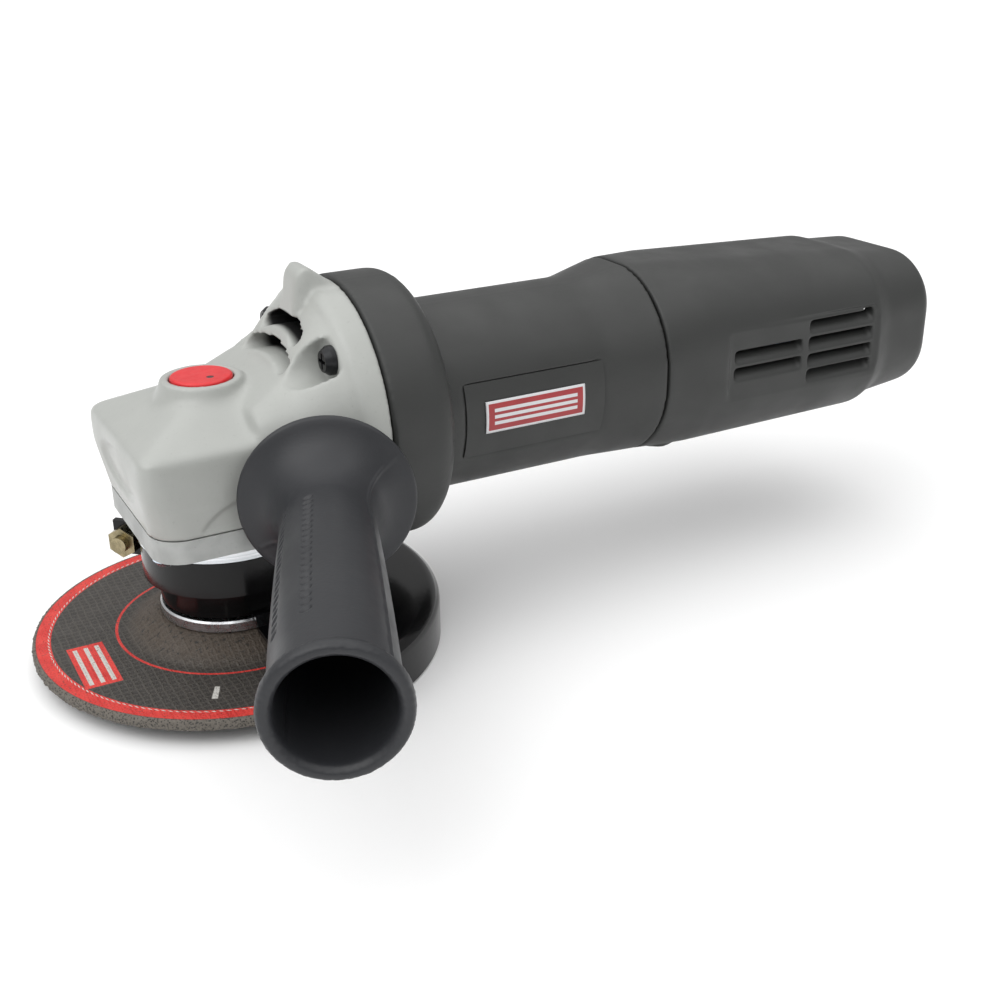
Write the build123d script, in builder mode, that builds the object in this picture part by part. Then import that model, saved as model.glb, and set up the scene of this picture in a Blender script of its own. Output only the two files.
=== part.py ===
from build123d import *
import os
from math import atan2, cos, pi, radians, sin, tan

os.makedirs("parts", exist_ok=True)

# Angle grinder for 115 mm wheels. Millimetres, +Z up, +X from the wheel to the rear of the body.
# The origin is the centre of the spindle nose's lower end face; the spindle turns about Z.

# ---------------------------------------------------------------- driving dimensions

motor_z = 64.2            # height of the motor axis, which runs along X
fit = 0.05                # radial running clearance
gap = 0.3                 # clearance between pieces that only pass each other

# spindle, wheel and clamping parts
thread_r = 7.0            # M14 spindle
wheel_r = 57.15           # 4 1/2 inch wheel
wheel_t = 3.2
wheel_low = 3.8           # underside of the wheel at its rim
hub_rise = 4.9            # how far the depressed centre is pressed up
wheel_bore_r = 11.1
flange_r = 20.2
seat_z = 15.4             # spindle shoulder that the inner flange rests on
nut_low = 3.6
nose_free = 2.8           # thread below the nut, up to a relief groove

# bevel gears
pinion_teeth = 11
crown_teeth = 37
crown_pitch_r = 23.1
face_width = 7.0
tooth_share = 0.37        # tooth width as a share of the circular pitch, doubled
pressure_angle = 20.0

# head casting
cover_z = 40.0            # underside of the bearing cover's flange
head_z = 46.5             # joint between bearing cover and gear housing
eaves_z = 69.0            # top edge of the side faces
roof_z = 76.5
side_y = 28.5             # half width of the gear housing
front_x = -28.3
flange_x = 37.0           # joint between gear housing and motor housing
head_flange_r = 38.0
gear_room_r = 24.8
gear_room_top = 62.5
lock_x = -8.8             # spindle lock pin
button_x = -2.3
button_r = 8.5
button_top = 81.4

# side handle, square to the flared side of the head
handle_yaw = 21.3         # degrees forward of straight out
handle_z = 55.9
dish_centre = (15.9, -41.5)
dish_r = 23.5
grip_length = 102.8
grip_end_r = 15.5
stud_r = 4.0              # M8

# guard
guard_r = 60.5
guard_t = 1.4
guard_low = -0.4
guard_plate_z = 13.1
guard_neck_z = 16.2
guard_half_angle = 105.0
clamp_angle = 135.0
band_low = 24.9
band_top = 35.2

# motor housing and rear cover
ring_r = 38.8
ring_end = 57.0
barrel_r = 28.3
barrel_bore_r = 25.5
flare_x = 113.0
seam_x = 130.0
cover_wall = 2.4
rear_step_x = 219.0       # start of the slope down to the rear end
end_x = 240.0
vent_rows = 4
vent_low = 55.0
vent_high = 76.8
vent_mid_x = 182.5        # middle of the vent panel
vent_length = 60.0
vent_columns = (197.2, 168.4)
louvre_length = 26.0
louvre_height = 3.7
cover_screw_x = 141.0     # screws that hold the rear cover, under its front
cover_screw_y = 11.0
cover_screw_seat = 38.9
clamp_x = 226.0           # cord clamp
clamp_screw_y = 9.5

# electric motor
core_x = (70.0, 110.0)
stator_bore_r = 17.1
armature_r = 16.6
commutator_x = (123.0, 137.0)
commutator_r = 11.0
fan_r = 26.5
fan_x = (40.6, 50.2)
rear_bearing_x = 141.0
shaft_end = 148.5

motor_axis = Axis((0, 0, motor_z), (1, 0, 0))


# ---------------------------------------------------------------- helpers


def level(z):
    """Horizontal plane at a height, centred on the spindle."""
    return Plane.XY.offset(z)


def across(x):
    """Plane across the motor axis: its x runs along +Y and its y along +Z."""
    return Plane(origin=(x, 0, motor_z), x_dir=(0, 1, 0), z_dir=(1, 0, 0))


def handle_plane(distance, side=-1):
    """Plane across the side handle's axis, a distance outward from the dish."""
    outward = (-sin(radians(handle_yaw)), side * cos(radians(handle_yaw)), 0)
    origin = (
        dish_centre[0] + outward[0] * distance,
        -side * dish_centre[1] + outward[1] * distance,
        handle_z,
    )
    return Plane(origin=origin, x_dir=(0, 0, 1), z_dir=outward)


def ring(plane, length, outer, inner=0.0, mode=Mode.ADD):
    """Round bar or tube that grows from a plane."""
    with BuildSketch(plane) as outline:
        Circle(outer)
        if inner:
            Circle(inner, mode=Mode.SUBTRACT)
    extrude(outline.sketch, amount=length, mode=mode)


def block(low, high, mode=Mode.ADD):
    """Box between two corners."""
    size = [high[i] - low[i] for i in range(3)]
    with BuildSketch(Plane(origin=(low[0], low[1], low[2]))) as outline:
        Rectangle(size[0], size[1], align=(Align.MIN, Align.MIN))
    extrude(outline.sketch, amount=size[2], mode=mode)


def sector(x_span, inner, outer, first, sweep_angle, mode=Mode.ADD):
    """Piece of a ring about the motor axis; angles run from +Z toward +Y."""
    turn = radians(first + sweep_angle)
    plane = Plane(
        origin=(0, 0, motor_z), x_dir=(1, 0, 0), z_dir=(0, -cos(turn), sin(turn))
    )
    with BuildSketch(plane) as outline:
        with Locations((x_span[0], inner)):
            Rectangle(
                x_span[1] - x_span[0], outer - inner, align=(Align.MIN, Align.MIN)
            )
    revolve(outline.sketch, axis=motor_axis, revolution_arc=sweep_angle, mode=mode)


def coil(plane, radius, wire_r, height, turns):
    """Round-wire spring standing on a plane."""
    with BuildLine(plane) as path:
        Helix(pitch=height / turns, height=height, radius=radius)
    start = path.line @ 0
    with BuildSketch(Plane(origin=start, z_dir=path.line % 0)) as section:
        Circle(wire_r)
    sweep(section.sketch, path=path.line)


def rounded_tube_section(plane, width, low, high, corner):
    """Sketch of a rounded rectangle about the body's middle plane, by its heights."""
    with BuildSketch(plane) as section:
        with Locations((0, (low + high) / 2 - motor_z)):
            RectangleRounded(width, high - low, corner)
    return section.sketch


def race(plane, width, bore_r, outer_r, ball_ring_r, ball_r, inner_race):
    """One race of a ball bearing, with its groove."""
    shoulder = ball_r * 0.62
    if inner_race:
        ring(plane, width, ball_ring_r - shoulder, bore_r)
    else:
        ring(plane, width, outer_r, ball_ring_r + shoulder)
    with Locations(plane.offset(width / 2)):
        Torus(ball_ring_r, ball_r + 0.06, mode=Mode.SUBTRACT)


def balls(plane, width, ball_ring_r, ball_r, count):
    """The balls of a bearing."""
    with Locations(plane.offset(width / 2)):
        with PolarLocations(ball_ring_r, count):
            Sphere(ball_r)


def pan_screw(plane, head_r, head_h, shank_r, shank_length):
    """Pan-head screw whose head's seat is on the plane; the shank goes along +z."""
    ring(plane, shank_length, shank_r)
    with BuildSketch(plane.offset(-head_h)) as top:
        Circle(head_r * 0.72)
    with BuildSketch(plane.offset(-head_h * 0.45)) as waist:
        Circle(head_r)
    loft([top.sketch, waist.sketch])
    ring(plane.offset(-head_h * 0.45), head_h * 0.45, head_r)
    for turned in (0, 90):
        with BuildSketch(plane.offset(-head_h)) as slot:
            Rectangle(head_r * 1.1, head_r * 0.24, rotation=turned)
        extrude(slot.sketch, amount=head_h * 0.6, mode=Mode.SUBTRACT)


def shifted(plane, right, up):
    """The same plane with its origin moved within it."""
    return Plane(
        origin=plane.from_local_coords((right, up, 0)),
        x_dir=plane.x_dir,
        z_dir=plane.z_dir,
    )


# ---------------------------------------------------------------- spindle group

hub_low = wheel_low + hub_rise
hub_high = hub_low + wheel_t
bearing_z = 30.0
bearing_w = 9.0
gear_web_top = 57.0
gear_web_low = 50.5
journal_z = 61.0
spindle_top = 70.5

with BuildPart() as spindle:
    ring(level(0), nose_free, thread_r)
    chamfer(spindle.edges().group_by(Axis.Z)[0], 0.4)
    ring(level(nose_free), nut_low - nose_free, thread_r - 0.6)
    ring(level(nut_low), seat_z - nut_low, thread_r)
    ring(level(seat_z), 11.6, 9.0)
    ring(level(27.0), bearing_z - 27.0, 6.6)
    ring(level(bearing_z), journal_z - bearing_z, 5.0)
    ring(level(journal_z), spindle_top - journal_z, 4.0)
    ring(level(gear_web_top), 1.2, 5.5, 4.5, mode=Mode.SUBTRACT)
    key_plane = level(51.0).rotated((0, 0, 45))
    with BuildSketch(key_plane) as key_seat:
        with Locations((3.4, 0)):
            Rectangle(3.4, 3.0, align=(Align.MIN, Align.CENTER))
    extrude(key_seat.sketch, amount=5.4, mode=Mode.SUBTRACT)
spindle.part.label = "spindle"
export_step(spindle.part, "parts/spindle.step")

with BuildPart() as gear_key:
    with BuildSketch(key_plane) as key_outline:
        with Locations((3.45, 0)):
            Rectangle(2.95, 2.9, align=(Align.MIN, Align.CENTER))
    extrude(key_outline.sketch, amount=5.3)
gear_key.part.label = "gear_key"
export_step(gear_key.part, "parts/gear_key.step")

with BuildPart() as inner_flange:
    ring(level(hub_high), seat_z - hub_high, flange_r, thread_r + fit)
    chamfer(inner_flange.edges().filter_by(GeomType.CIRCLE).sort_by(SortBy.RADIUS)[-2:], 0.5)
    ring(level(hub_low + 0.6), wheel_t - 0.6, wheel_bore_r - fit, thread_r + fit)
inner_flange.part.label = "inner_flange"
export_step(inner_flange.part, "parts/inner_flange.step")

# The depressed centre is a flat hub, a conical step and a flat rim.
with BuildPart() as cutting_wheel:
    with BuildSketch(Plane.XZ):
        with BuildLine():
            Polyline(
                (wheel_bore_r, hub_low),
                (wheel_bore_r, hub_high),
                (flange_r + 1.5, hub_high),
                (flange_r + 10.0, wheel_low + wheel_t),
                (wheel_r, wheel_low + wheel_t),
                (wheel_r, wheel_low),
                (flange_r + 8.5, wheel_low),
                (flange_r, hub_low),
                close=True,
            )
        make_face()
    revolve(axis=Axis.Z)
cutting_wheel.part.label = "cutting_wheel"
export_step(cutting_wheel.part, "parts/cutting_wheel.step")

with BuildPart() as lock_nut:
    ring(level(nut_low + 2.6), hub_low - nut_low - 2.6, 19.5, thread_r + fit)
    ring(level(nut_low), 2.6, 13.5, thread_r + fit)
    with BuildSketch(level(nut_low)):
        with PolarLocations(15.0, 4):
            Circle(2.6)
    extrude(amount=4.2, mode=Mode.SUBTRACT)
lock_nut.part.label = "lock_nut"
export_step(lock_nut.part, "parts/lock_nut.step")

with BuildPart() as spindle_bearing_inner:
    race(level(bearing_z), bearing_w, 5.0 + 0.01, 15.0, 10.0, 2.38, True)
spindle_bearing_inner.part.label = "spindle_bearing_inner"
export_step(spindle_bearing_inner.part, "parts/spindle_bearing_inner.step")

with BuildPart() as circlip:
    ring(level(gear_web_top + 0.05), 1.05, 6.6, 4.55)
    with BuildSketch(level(gear_web_top)) as clip_mouth:
        with Locations((0, 5)):
            Rectangle(3.0, 10.0)
    extrude(clip_mouth.sketch, amount=2.0, mode=Mode.SUBTRACT)
circlip.part.label = "circlip"
export_step(circlip.part, "parts/circlip.step")

# ---------------------------------------------------------------- bevel gears

# Both pitch cones meet where the spindle and motor axes cross. A tooth is a six-sided
# outline at the outer end that shrinks toward that point.
gear_module = 2 * crown_pitch_r / crown_teeth
pinion_cone = atan2(pinion_teeth, crown_teeth)
crown_cone = pi / 2 - pinion_cone
cone_length = crown_pitch_r / cos(pinion_cone)
inner_share = 1 - face_width / cone_length
addendum = 0.8 * gear_module
dedendum = 1.15 * gear_module
root_shares = (1.02, inner_share - 0.03)   # the root cone reaches past the teeth at both ends


def tooth_outline(scale):
    """Points of a tooth about its pitch point, tip along +y."""
    half = pi * gear_module * tooth_share / 2
    lean = tan(radians(pressure_angle))
    deep = dedendum + 0.3
    points = [
        (-half - deep * lean, -deep),
        (half + deep * lean, -deep),
        (half - addendum * lean, addendum),
        (-half + addendum * lean, addendum),
    ]
    return [(x * scale, y * scale) for x, y in points]


def bevel_tooth(along, outward, sideways):
    """Tooth that runs from the outer end toward the cones' common point."""
    sections = []
    for scale in (1.0, inner_share):
        centre = Vector(0, 0, motor_z) + along * (cone_length * scale)
        plane = Plane(origin=centre, x_dir=sideways, z_dir=sideways.cross(outward))
        with BuildSketch(plane) as outline:
            Polygon(*tooth_outline(scale), align=None)
        sections.append(outline.sketch)
    loft(sections, ruled=True, mode=Mode.ADD)


def cone_frame(cone_angle, turn, axis_dir, start_dir, side_dir):
    """Direction of a pitch line on a cone, its outward normal and its sideways direction."""
    radial = start_dir * cos(turn) + side_dir * sin(turn)
    along = axis_dir * cos(cone_angle) + radial * sin(cone_angle)
    outward = radial * cos(cone_angle) - axis_dir * sin(cone_angle)
    sideways = along.cross(outward)
    return along, outward, sideways


with BuildPart() as crown_gear:
    with BuildSketch(Plane.XZ):
        with BuildLine():
            root_depth = crown_pitch_r * tan(pinion_cone) + dedendum * sin(crown_cone)
            root_out = (crown_pitch_r - dedendum * cos(crown_cone)) * root_shares[0]
            root_z = motor_z - root_depth * root_shares[0]
            root_in = root_out * root_shares[1] / root_shares[0]
            root_in_z = motor_z - root_depth * root_shares[1]
            Polyline(
                (5.0 + 0.02, bearing_z + bearing_w),
                (8.0, bearing_z + bearing_w),
                (8.0, gear_web_low),
                (crown_pitch_r - 1.0, gear_web_low),
                (root_out, root_z - 1.2),
                (root_out, root_z),
                (root_in, root_in_z),
                (root_in, gear_web_top),
                (5.0 + 0.02, gear_web_top),
                close=True,
            )
        make_face()
    revolve(axis=Axis.Z)
    for index in range(crown_teeth):
        turn = 2 * pi * index / crown_teeth
        bevel_tooth(
            *cone_frame(crown_cone, turn, Vector(0, 0, -1), Vector(1, 0, 0), Vector(0, 1, 0))
        )
    with BuildSketch(level(gear_web_low)):
        with PolarLocations(-lock_x, 4):
            Circle(2.3)
    extrude(amount=gear_web_top - gear_web_low, mode=Mode.SUBTRACT)
    with BuildSketch(key_plane) as gear_key_seat:
        with Locations((4.0, 0)):
            Rectangle(2.45, 2.95, align=(Align.MIN, Align.CENTER))
    extrude(gear_key_seat.sketch, amount=6.0, mode=Mode.SUBTRACT)
crown_gear.part.label = "crown_gear"
export_step(crown_gear.part, "parts/crown_gear.step")

pinion_back = cone_length * cos(pinion_cone)
pinion_hub_x = 15.2
pinion_hub_back = 28.6
pinion_bore_r = 3.5

with BuildPart() as pinion:
    with BuildSketch(Plane.XZ) as pinion_profile:
        with BuildLine():
            pitch_r = crown_pitch_r * pinion_teeth / crown_teeth
            root_r = pitch_r - dedendum * cos(pinion_cone)
            root_back = pinion_back + dedendum * sin(pinion_cone)
            pinion_root_in = (pinion_bore_r + 0.5) / root_r
            Polyline(
                (pinion_hub_x, motor_z + pinion_bore_r + 0.02),
                (pinion_hub_x, motor_z + pinion_bore_r + 0.5),
                (root_back * pinion_root_in, motor_z + pinion_bore_r + 0.5),
                (root_back * root_shares[0], motor_z + root_r * root_shares[0]),
                (pinion_hub_back, motor_z + root_r * root_shares[0]),
                (pinion_hub_back, motor_z + pinion_bore_r + 0.02),
                close=True,
            )
        make_face()
    revolve(pinion_profile.sketch, axis=motor_axis)
    for index in range(pinion_teeth):
        turn = 2 * pi * (index + 0.5) / pinion_teeth
        bevel_tooth(
            *cone_frame(pinion_cone, turn, Vector(1, 0, 0), Vector(0, 0, -1), Vector(0, 1, 0))
        )
pinion.part.label = "pinion"
export_step(pinion.part, "parts/pinion.step")

# ---------------------------------------------------------------- armature group

front_bearing_x = 29.0
front_bearing_w = 8.0
pinion_nut_x = (10.6, pinion_hub_x)

with BuildPart() as armature_shaft:
    ring(across(10.0), front_bearing_x - 10.0, pinion_bore_r)
    ring(across(front_bearing_x), 30.0, 5.0)
    ring(across(front_bearing_x + 30.0), 80.0, 5.6)
    ring(across(front_bearing_x + 110.0), shaft_end - front_bearing_x - 110.0, 3.5)
armature_shaft.part.label = "armature_shaft"
export_step(armature_shaft.part, "parts/armature_shaft.step")

with BuildPart() as pinion_nut:
    with BuildSketch(across(pinion_nut_x[0])) as nut_outline:
        RegularPolygon(5.4, 6)
        Circle(pinion_bore_r + 0.02, mode=Mode.SUBTRACT)
    extrude(nut_outline.sketch, amount=pinion_nut_x[1] - pinion_nut_x[0])
pinion_nut.part.label = "pinion_nut"
export_step(pinion_nut.part, "parts/pinion_nut.step")

with BuildPart() as front_bearing_inner:
    race(across(front_bearing_x), front_bearing_w, 5.0 + 0.01, 13.0, 9.0, 2.2, True)
front_bearing_inner.part.label = "front_bearing_inner"
export_step(front_bearing_inner.part, "parts/front_bearing_inner.step")

with BuildPart() as rear_bearing_inner:
    race(across(rear_bearing_x), 6.0, 3.5 + 0.01, 9.5, 6.5, 1.5, True)
rear_bearing_inner.part.label = "rear_bearing_inner"
export_step(rear_bearing_inner.part, "parts/rear_bearing_inner.step")

fan_blades = 14
with BuildPart() as fan:
    ring(across(fan_x[0]), fan_x[1] - fan_x[0], 8.0, 5.0 + 0.02)
    ring(across(fan_x[1] - 1.6), 1.6, fan_r, 5.0 + 0.02)
    with BuildSketch(across(fan_x[0])) as blades:
        with PolarLocations(17.0, fan_blades):
            Rectangle(18.6, 1.5, rotation=18)
    extrude(blades.sketch, amount=fan_x[1] - fan_x[0] - 1.0)
fan.part.label = "fan"
export_step(fan.part, "parts/fan.step")

armature_slots = 12
with BuildPart() as armature_core:
    ring(across(core_x[0]), core_x[1] - core_x[0], armature_r, 5.6 + 0.02)
    with BuildSketch(across(core_x[0])) as slots:
        with PolarLocations(armature_r - 2.8, armature_slots):
            Rectangle(6.0, 2.4)
    extrude(slots.sketch, amount=core_x[1] - core_x[0], mode=Mode.SUBTRACT)
armature_core.part.label = "armature_core"
export_step(armature_core.part, "parts/armature_core.step")

with BuildPart() as armature_windings:
    for start in (core_x[0] - 8.5, core_x[1]):
        ring(across(start), 8.5, 13.2, 5.6 + 0.02)
        ring(across(start + 1.5), 5.5, 14.6, 13.2)
    with BuildSketch(across(core_x[0] - 1.0)) as bundles:
        with PolarLocations(armature_r - 3.3, armature_slots):
            Rectangle(4.4, 2.0)
    extrude(bundles.sketch, amount=core_x[1] - core_x[0] + 2.0)
armature_windings.part.label = "armature_windings"
export_step(armature_windings.part, "parts/armature_windings.step")

commutator_bars = 24
with BuildPart() as commutator:
    ring(across(commutator_x[0]), commutator_x[1] - commutator_x[0], commutator_r, 5.6 + 0.02)
    ring(across(commutator_x[0] - 2.0), 2.0, commutator_r + 1.6, 5.6 + 0.02)
    with BuildSketch(across(commutator_x[0])) as bar_gaps:
        with PolarLocations(commutator_r, commutator_bars):
            Rectangle(2.4, 0.5)
    extrude(bar_gaps.sketch, amount=commutator_x[1] - commutator_x[0], mode=Mode.SUBTRACT)
commutator.part.label = "commutator"
export_step(commutator.part, "parts/commutator.step")

# ---------------------------------------------------------------- head: fixed pieces

screw_places = [(sx * 21.9, sy * 18.4) for sx in (-1, 1) for sy in (-1, 1)]
flange_screw = 22.6       # the four body screws, from the motor axis, along Y and Z
flange_screw_places = [(sy * flange_screw, sz * flange_screw) for sy in (-1, 1) for sz in (-1, 1)]
upper_seat_x = 27.0
lower_seat_x = 30.2
bush_r = 5.5
handle_boss_face = -7.7   # along the handle's axis, from the dish
head_vents = ((86.0, 13.6, 1.9), (93.0, 11.0, 2.5))   # middle height, half width, drop to the ends
head_vent_h = 4.0

with BuildPart() as gear_housing:
    # round flange that meets the motor housing
    ring(across(27.5), flange_x - 27.5, head_flange_r)
    fillet(gear_housing.edges().filter_by(GeomType.CIRCLE).group_by(Axis.X)[0], 3.5)
    # drafted block round the crown gear, with its hipped roof
    block_end = 14.0
    with BuildSketch(level(head_z)) as foot:
        with Locations(((-26.0 + block_end) / 2, 0)):
            RectangleRounded(block_end + 26.0, 2 * 27.6, 9.0)
    with BuildSketch(level(60.0)) as belt:
        with Locations(((front_x + block_end) / 2, 0)):
            RectangleRounded(block_end - front_x, 2 * side_y, 4.0)
    with BuildSketch(level(eaves_z)) as eaves:
        with Locations(((front_x + block_end) / 2, 0)):
            RectangleRounded(block_end - front_x, 2 * side_y, 4.0)
    with BuildSketch(level(roof_z)) as roof:
        with Locations(((-12.0 + block_end) / 2, 0)):
            RectangleRounded(block_end + 12.0, 26.0, 3.9)
    loft([foot.sketch, belt.sketch], ruled=True)
    loft([belt.sketch, eaves.sketch], ruled=True)
    loft([eaves.sketch, roof.sketch], ruled=True)
    # flare from the block up to the flange
    flare_start = rounded_tube_section(across(3.0), 2 * side_y, head_z, 76.0, 8.0)
    flare_mid = rounded_tube_section(across(15.0), 65.0, 38.0, 82.5, 17.0)
    flare_end = rounded_tube_section(
        across(28.5), 73.0, motor_z - 36.5, motor_z + 36.5, 36.3
    )
    loft([flare_start, flare_mid], ruled=True)
    loft([flare_mid, flare_end], ruled=True)
    # round boss of the spindle lock button
    with BuildSketch(level(70.0)) as boss_foot:
        with Locations((button_x, 0)):
            Circle(15.5)
    with BuildSketch(level(button_top - 0.4)) as boss_top:
        with Locations((button_x, 0)):
            Circle(11.0)
    loft([boss_foot.sketch, boss_top.sketch])
    # pointed ear on top of the flange
    with BuildSketch(Plane.XZ.offset(-5.5)) as ear:
        with BuildLine():
            Polyline(
                (22.5, 92.0),
                (24.6, 105.6),
                (26.4, 107.6),
                (28.8, 107.6),
                (flange_x, 101.4),
                (flange_x, 92.0),
                close=True,
            )
        make_face()
    extrude(ear.sketch, amount=11.0)
    # raised seats for the side handle, one on each side
    for side in (-1, 1):
        ring(handle_plane(handle_boss_face, side), -14.0, 10.5)
    # flat joint with the bearing cover
    block((-60, -60, 0), (27.2, 60, head_z), mode=Mode.SUBTRACT)
    # pockets over the body screws
    for y, z in flange_screw_places:
        seat_x = upper_seat_x if z > 0 else lower_seat_x
        pocket_x = -20.0 if z > 0 else 26.5
        ring(shifted(across(pocket_x), y, z), seat_x - pocket_x, 6.2, mode=Mode.SUBTRACT)
    # room for the crown gear, the pinion, and the air that the fan pushes forward
    ring(level(head_z), gear_room_top - head_z, gear_room_r, mode=Mode.SUBTRACT)
    ring(across(8.5), front_bearing_x - 8.5, 10.6, mode=Mode.SUBTRACT)
    ring(across(front_bearing_x), flange_x - front_bearing_x, 13.0 + 0.02, mode=Mode.SUBTRACT)
    ring(across(31.0), flange_x - 31.0, 34.0, 16.8, mode=Mode.SUBTRACT)
    for y, z in flange_screw_places:
        ring(shifted(across(lower_seat_x), y, z), flange_x - lower_seat_x, 4.4)
        ring(shifted(across(20.0), y, z), 20.0, 2.0, mode=Mode.SUBTRACT)
    # curved vents between the upper screws
    for crown, half_width, drop in head_vents:
        middle = crown - motor_z
        bow = Edge.make_three_point_arc(
            (-half_width, middle - drop), (0, middle), (half_width, middle - drop)
        )
        with BuildSketch(across(-5.0)) as vent:
            SlotArc(bow, head_vent_h)
        extrude(vent.sketch, amount=37.0, mode=Mode.SUBTRACT)
    # spindle bush, lock button and lock pin
    ring(level(gear_room_top), 9.0, bush_r + 0.02, mode=Mode.SUBTRACT)
    ring(level(72.2).move(Location((button_x, 0, 0))), 20.0, button_r + gap, mode=Mode.SUBTRACT)
    ring(level(60.0).move(Location((lock_x, 0, 0))), 20.0, 1.9 + 0.1, mode=Mode.SUBTRACT)
    # threads for the side handle and for the cover screws
    for side in (-1, 1):
        ring(handle_plane(handle_boss_face, side), -13.0, stud_r, mode=Mode.SUBTRACT)
    for x, y in screw_places:
        ring(level(head_z).move(Location((x, y, 0))), 12.0, 1.9, mode=Mode.SUBTRACT)
gear_housing.part.label = "gear_housing"
export_step(gear_housing.part, "parts/gear_housing.step")

with BuildPart() as bearing_cover:
    with BuildSketch(level(cover_z)) as plate:
        RectangleRounded(52.0, 55.6, 9.0)
    extrude(plate.sketch, amount=head_z - cover_z)
    ring(level(35.6), cover_z - 35.6, 24.3)
    ring(level(26.0), 10.0, 20.62)
    ring(level(16.9), 10.0, 17.9)
    ring(level(head_z), 2.0, gear_room_r - 0.05)
    # bored for the seal and the bearing, and open above for the crown gear
    ring(level(10.0), 30.0, 9.4, mode=Mode.SUBTRACT)
    ring(level(27.6), 4.0, 14.0, mode=Mode.SUBTRACT)
    ring(level(bearing_z), 20.0, 15.0 + 0.02, mode=Mode.SUBTRACT)
    ring(level(bearing_z + bearing_w), 20.0, 17.0 + 0.02, mode=Mode.SUBTRACT)
    ring(level(42.0), 20.0, 22.4, mode=Mode.SUBTRACT)
    for x, y in screw_places:
        ring(level(30.0).move(Location((x, y, 0))), 20.0, 2.05, mode=Mode.SUBTRACT)
bearing_cover.part.label = "bearing_cover"
export_step(bearing_cover.part, "parts/bearing_cover.step")

with BuildPart() as cover_screws:
    for x, y in screw_places:
        pan_screw(level(cover_z).move(Location((x, y, 0))), 3.6, 2.7, 1.85, 17.0)
cover_screws.part.label = "cover_screws"
export_step(cover_screws.part, "parts/cover_screws.step")

with BuildPart() as body_screws:
    for y, z in flange_screw_places:
        seat_x = upper_seat_x if z > 0 else lower_seat_x
        pan_screw(shifted(across(seat_x), y, z), 4.0, 3.0, 1.95, 50.0 - seat_x)
body_screws.part.label = "body_screws"
export_step(body_screws.part, "parts/body_screws.step")

with BuildPart() as spindle_bearing_outer:
    race(level(bearing_z), bearing_w, 5.0, 15.0, 10.0, 2.38, False)
spindle_bearing_outer.part.label = "spindle_bearing_outer"
export_step(spindle_bearing_outer.part, "parts/spindle_bearing_outer.step")

with BuildPart() as spindle_bearing_balls:
    balls(level(bearing_z), bearing_w, 10.0, 2.38, 9)
spindle_bearing_balls.part.label = "spindle_bearing_balls"
export_step(spindle_bearing_balls.part, "parts/spindle_bearing_balls.step")

with BuildPart() as bearing_retainer:
    ring(level(bearing_z + bearing_w), 2.5, 17.0, 11.8)
bearing_retainer.part.label = "bearing_retainer"
export_step(bearing_retainer.part, "parts/bearing_retainer.step")

with BuildPart() as felt_seal:
    ring(level(27.6), bearing_z - 27.6, 13.98, 6.7)
felt_seal.part.label = "felt_seal"
export_step(felt_seal.part, "parts/felt_seal.step")

with BuildPart() as top_bush:
    ring(level(63.2), 8.2, bush_r, 4.0 + fit)
top_bush.part.label = "top_bush"
export_step(top_bush.part, "parts/top_bush.step")

with BuildPart() as front_bearing_outer:
    race(across(front_bearing_x), front_bearing_w, 5.0, 13.0, 9.0, 2.2, False)
front_bearing_outer.part.label = "front_bearing_outer"
export_step(front_bearing_outer.part, "parts/front_bearing_outer.step")

with BuildPart() as front_bearing_balls:
    balls(across(front_bearing_x), front_bearing_w, 9.0, 2.2, 8)
front_bearing_balls.part.label = "front_bearing_balls"
export_step(front_bearing_balls.part, "parts/front_bearing_balls.step")

with BuildPart() as front_bearing_plate:
    ring(across(flange_x), 2.0, 16.6, 10.6)
front_bearing_plate.part.label = "front_bearing_plate"
export_step(front_bearing_plate.part, "parts/front_bearing_plate.step")

# ---------------------------------------------------------------- spindle lock

with BuildPart() as lock_button:
    ring(level(76.5).move(Location((button_x, 0, 0))), button_top - 76.5, button_r)
    fillet(lock_button.edges().group_by(Axis.Z)[-1], 0.8)
    ring(level(76.5).move(Location((button_x, 0, 0))), 2.9, 4.2, mode=Mode.SUBTRACT)
    ring(level(76.5).move(Location((lock_x, 0, 0))), 2.9, 1.92, mode=Mode.SUBTRACT)
lock_button.part.label = "lock_button"
export_step(lock_button.part, "parts/lock_button.step")

with BuildPart() as lock_pin:
    ring(level(58.2).move(Location((lock_x, 0, 0))), 79.4 - 58.2, 1.9)
    chamfer(lock_pin.edges().group_by(Axis.Z)[0], 0.5)
lock_pin.part.label = "lock_pin"
export_step(lock_pin.part, "parts/lock_pin.step")

with BuildPart() as lock_spring:
    coil(level(72.75).move(Location((button_x, 0, 0))), 3.3, 0.45, 6.1, 4)
lock_spring.part.label = "lock_spring"
export_step(lock_spring.part, "parts/lock_spring.step")

# ---------------------------------------------------------------- guard group

collar_in = 20.62 + 0.06
collar_out = 22.2

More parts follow.
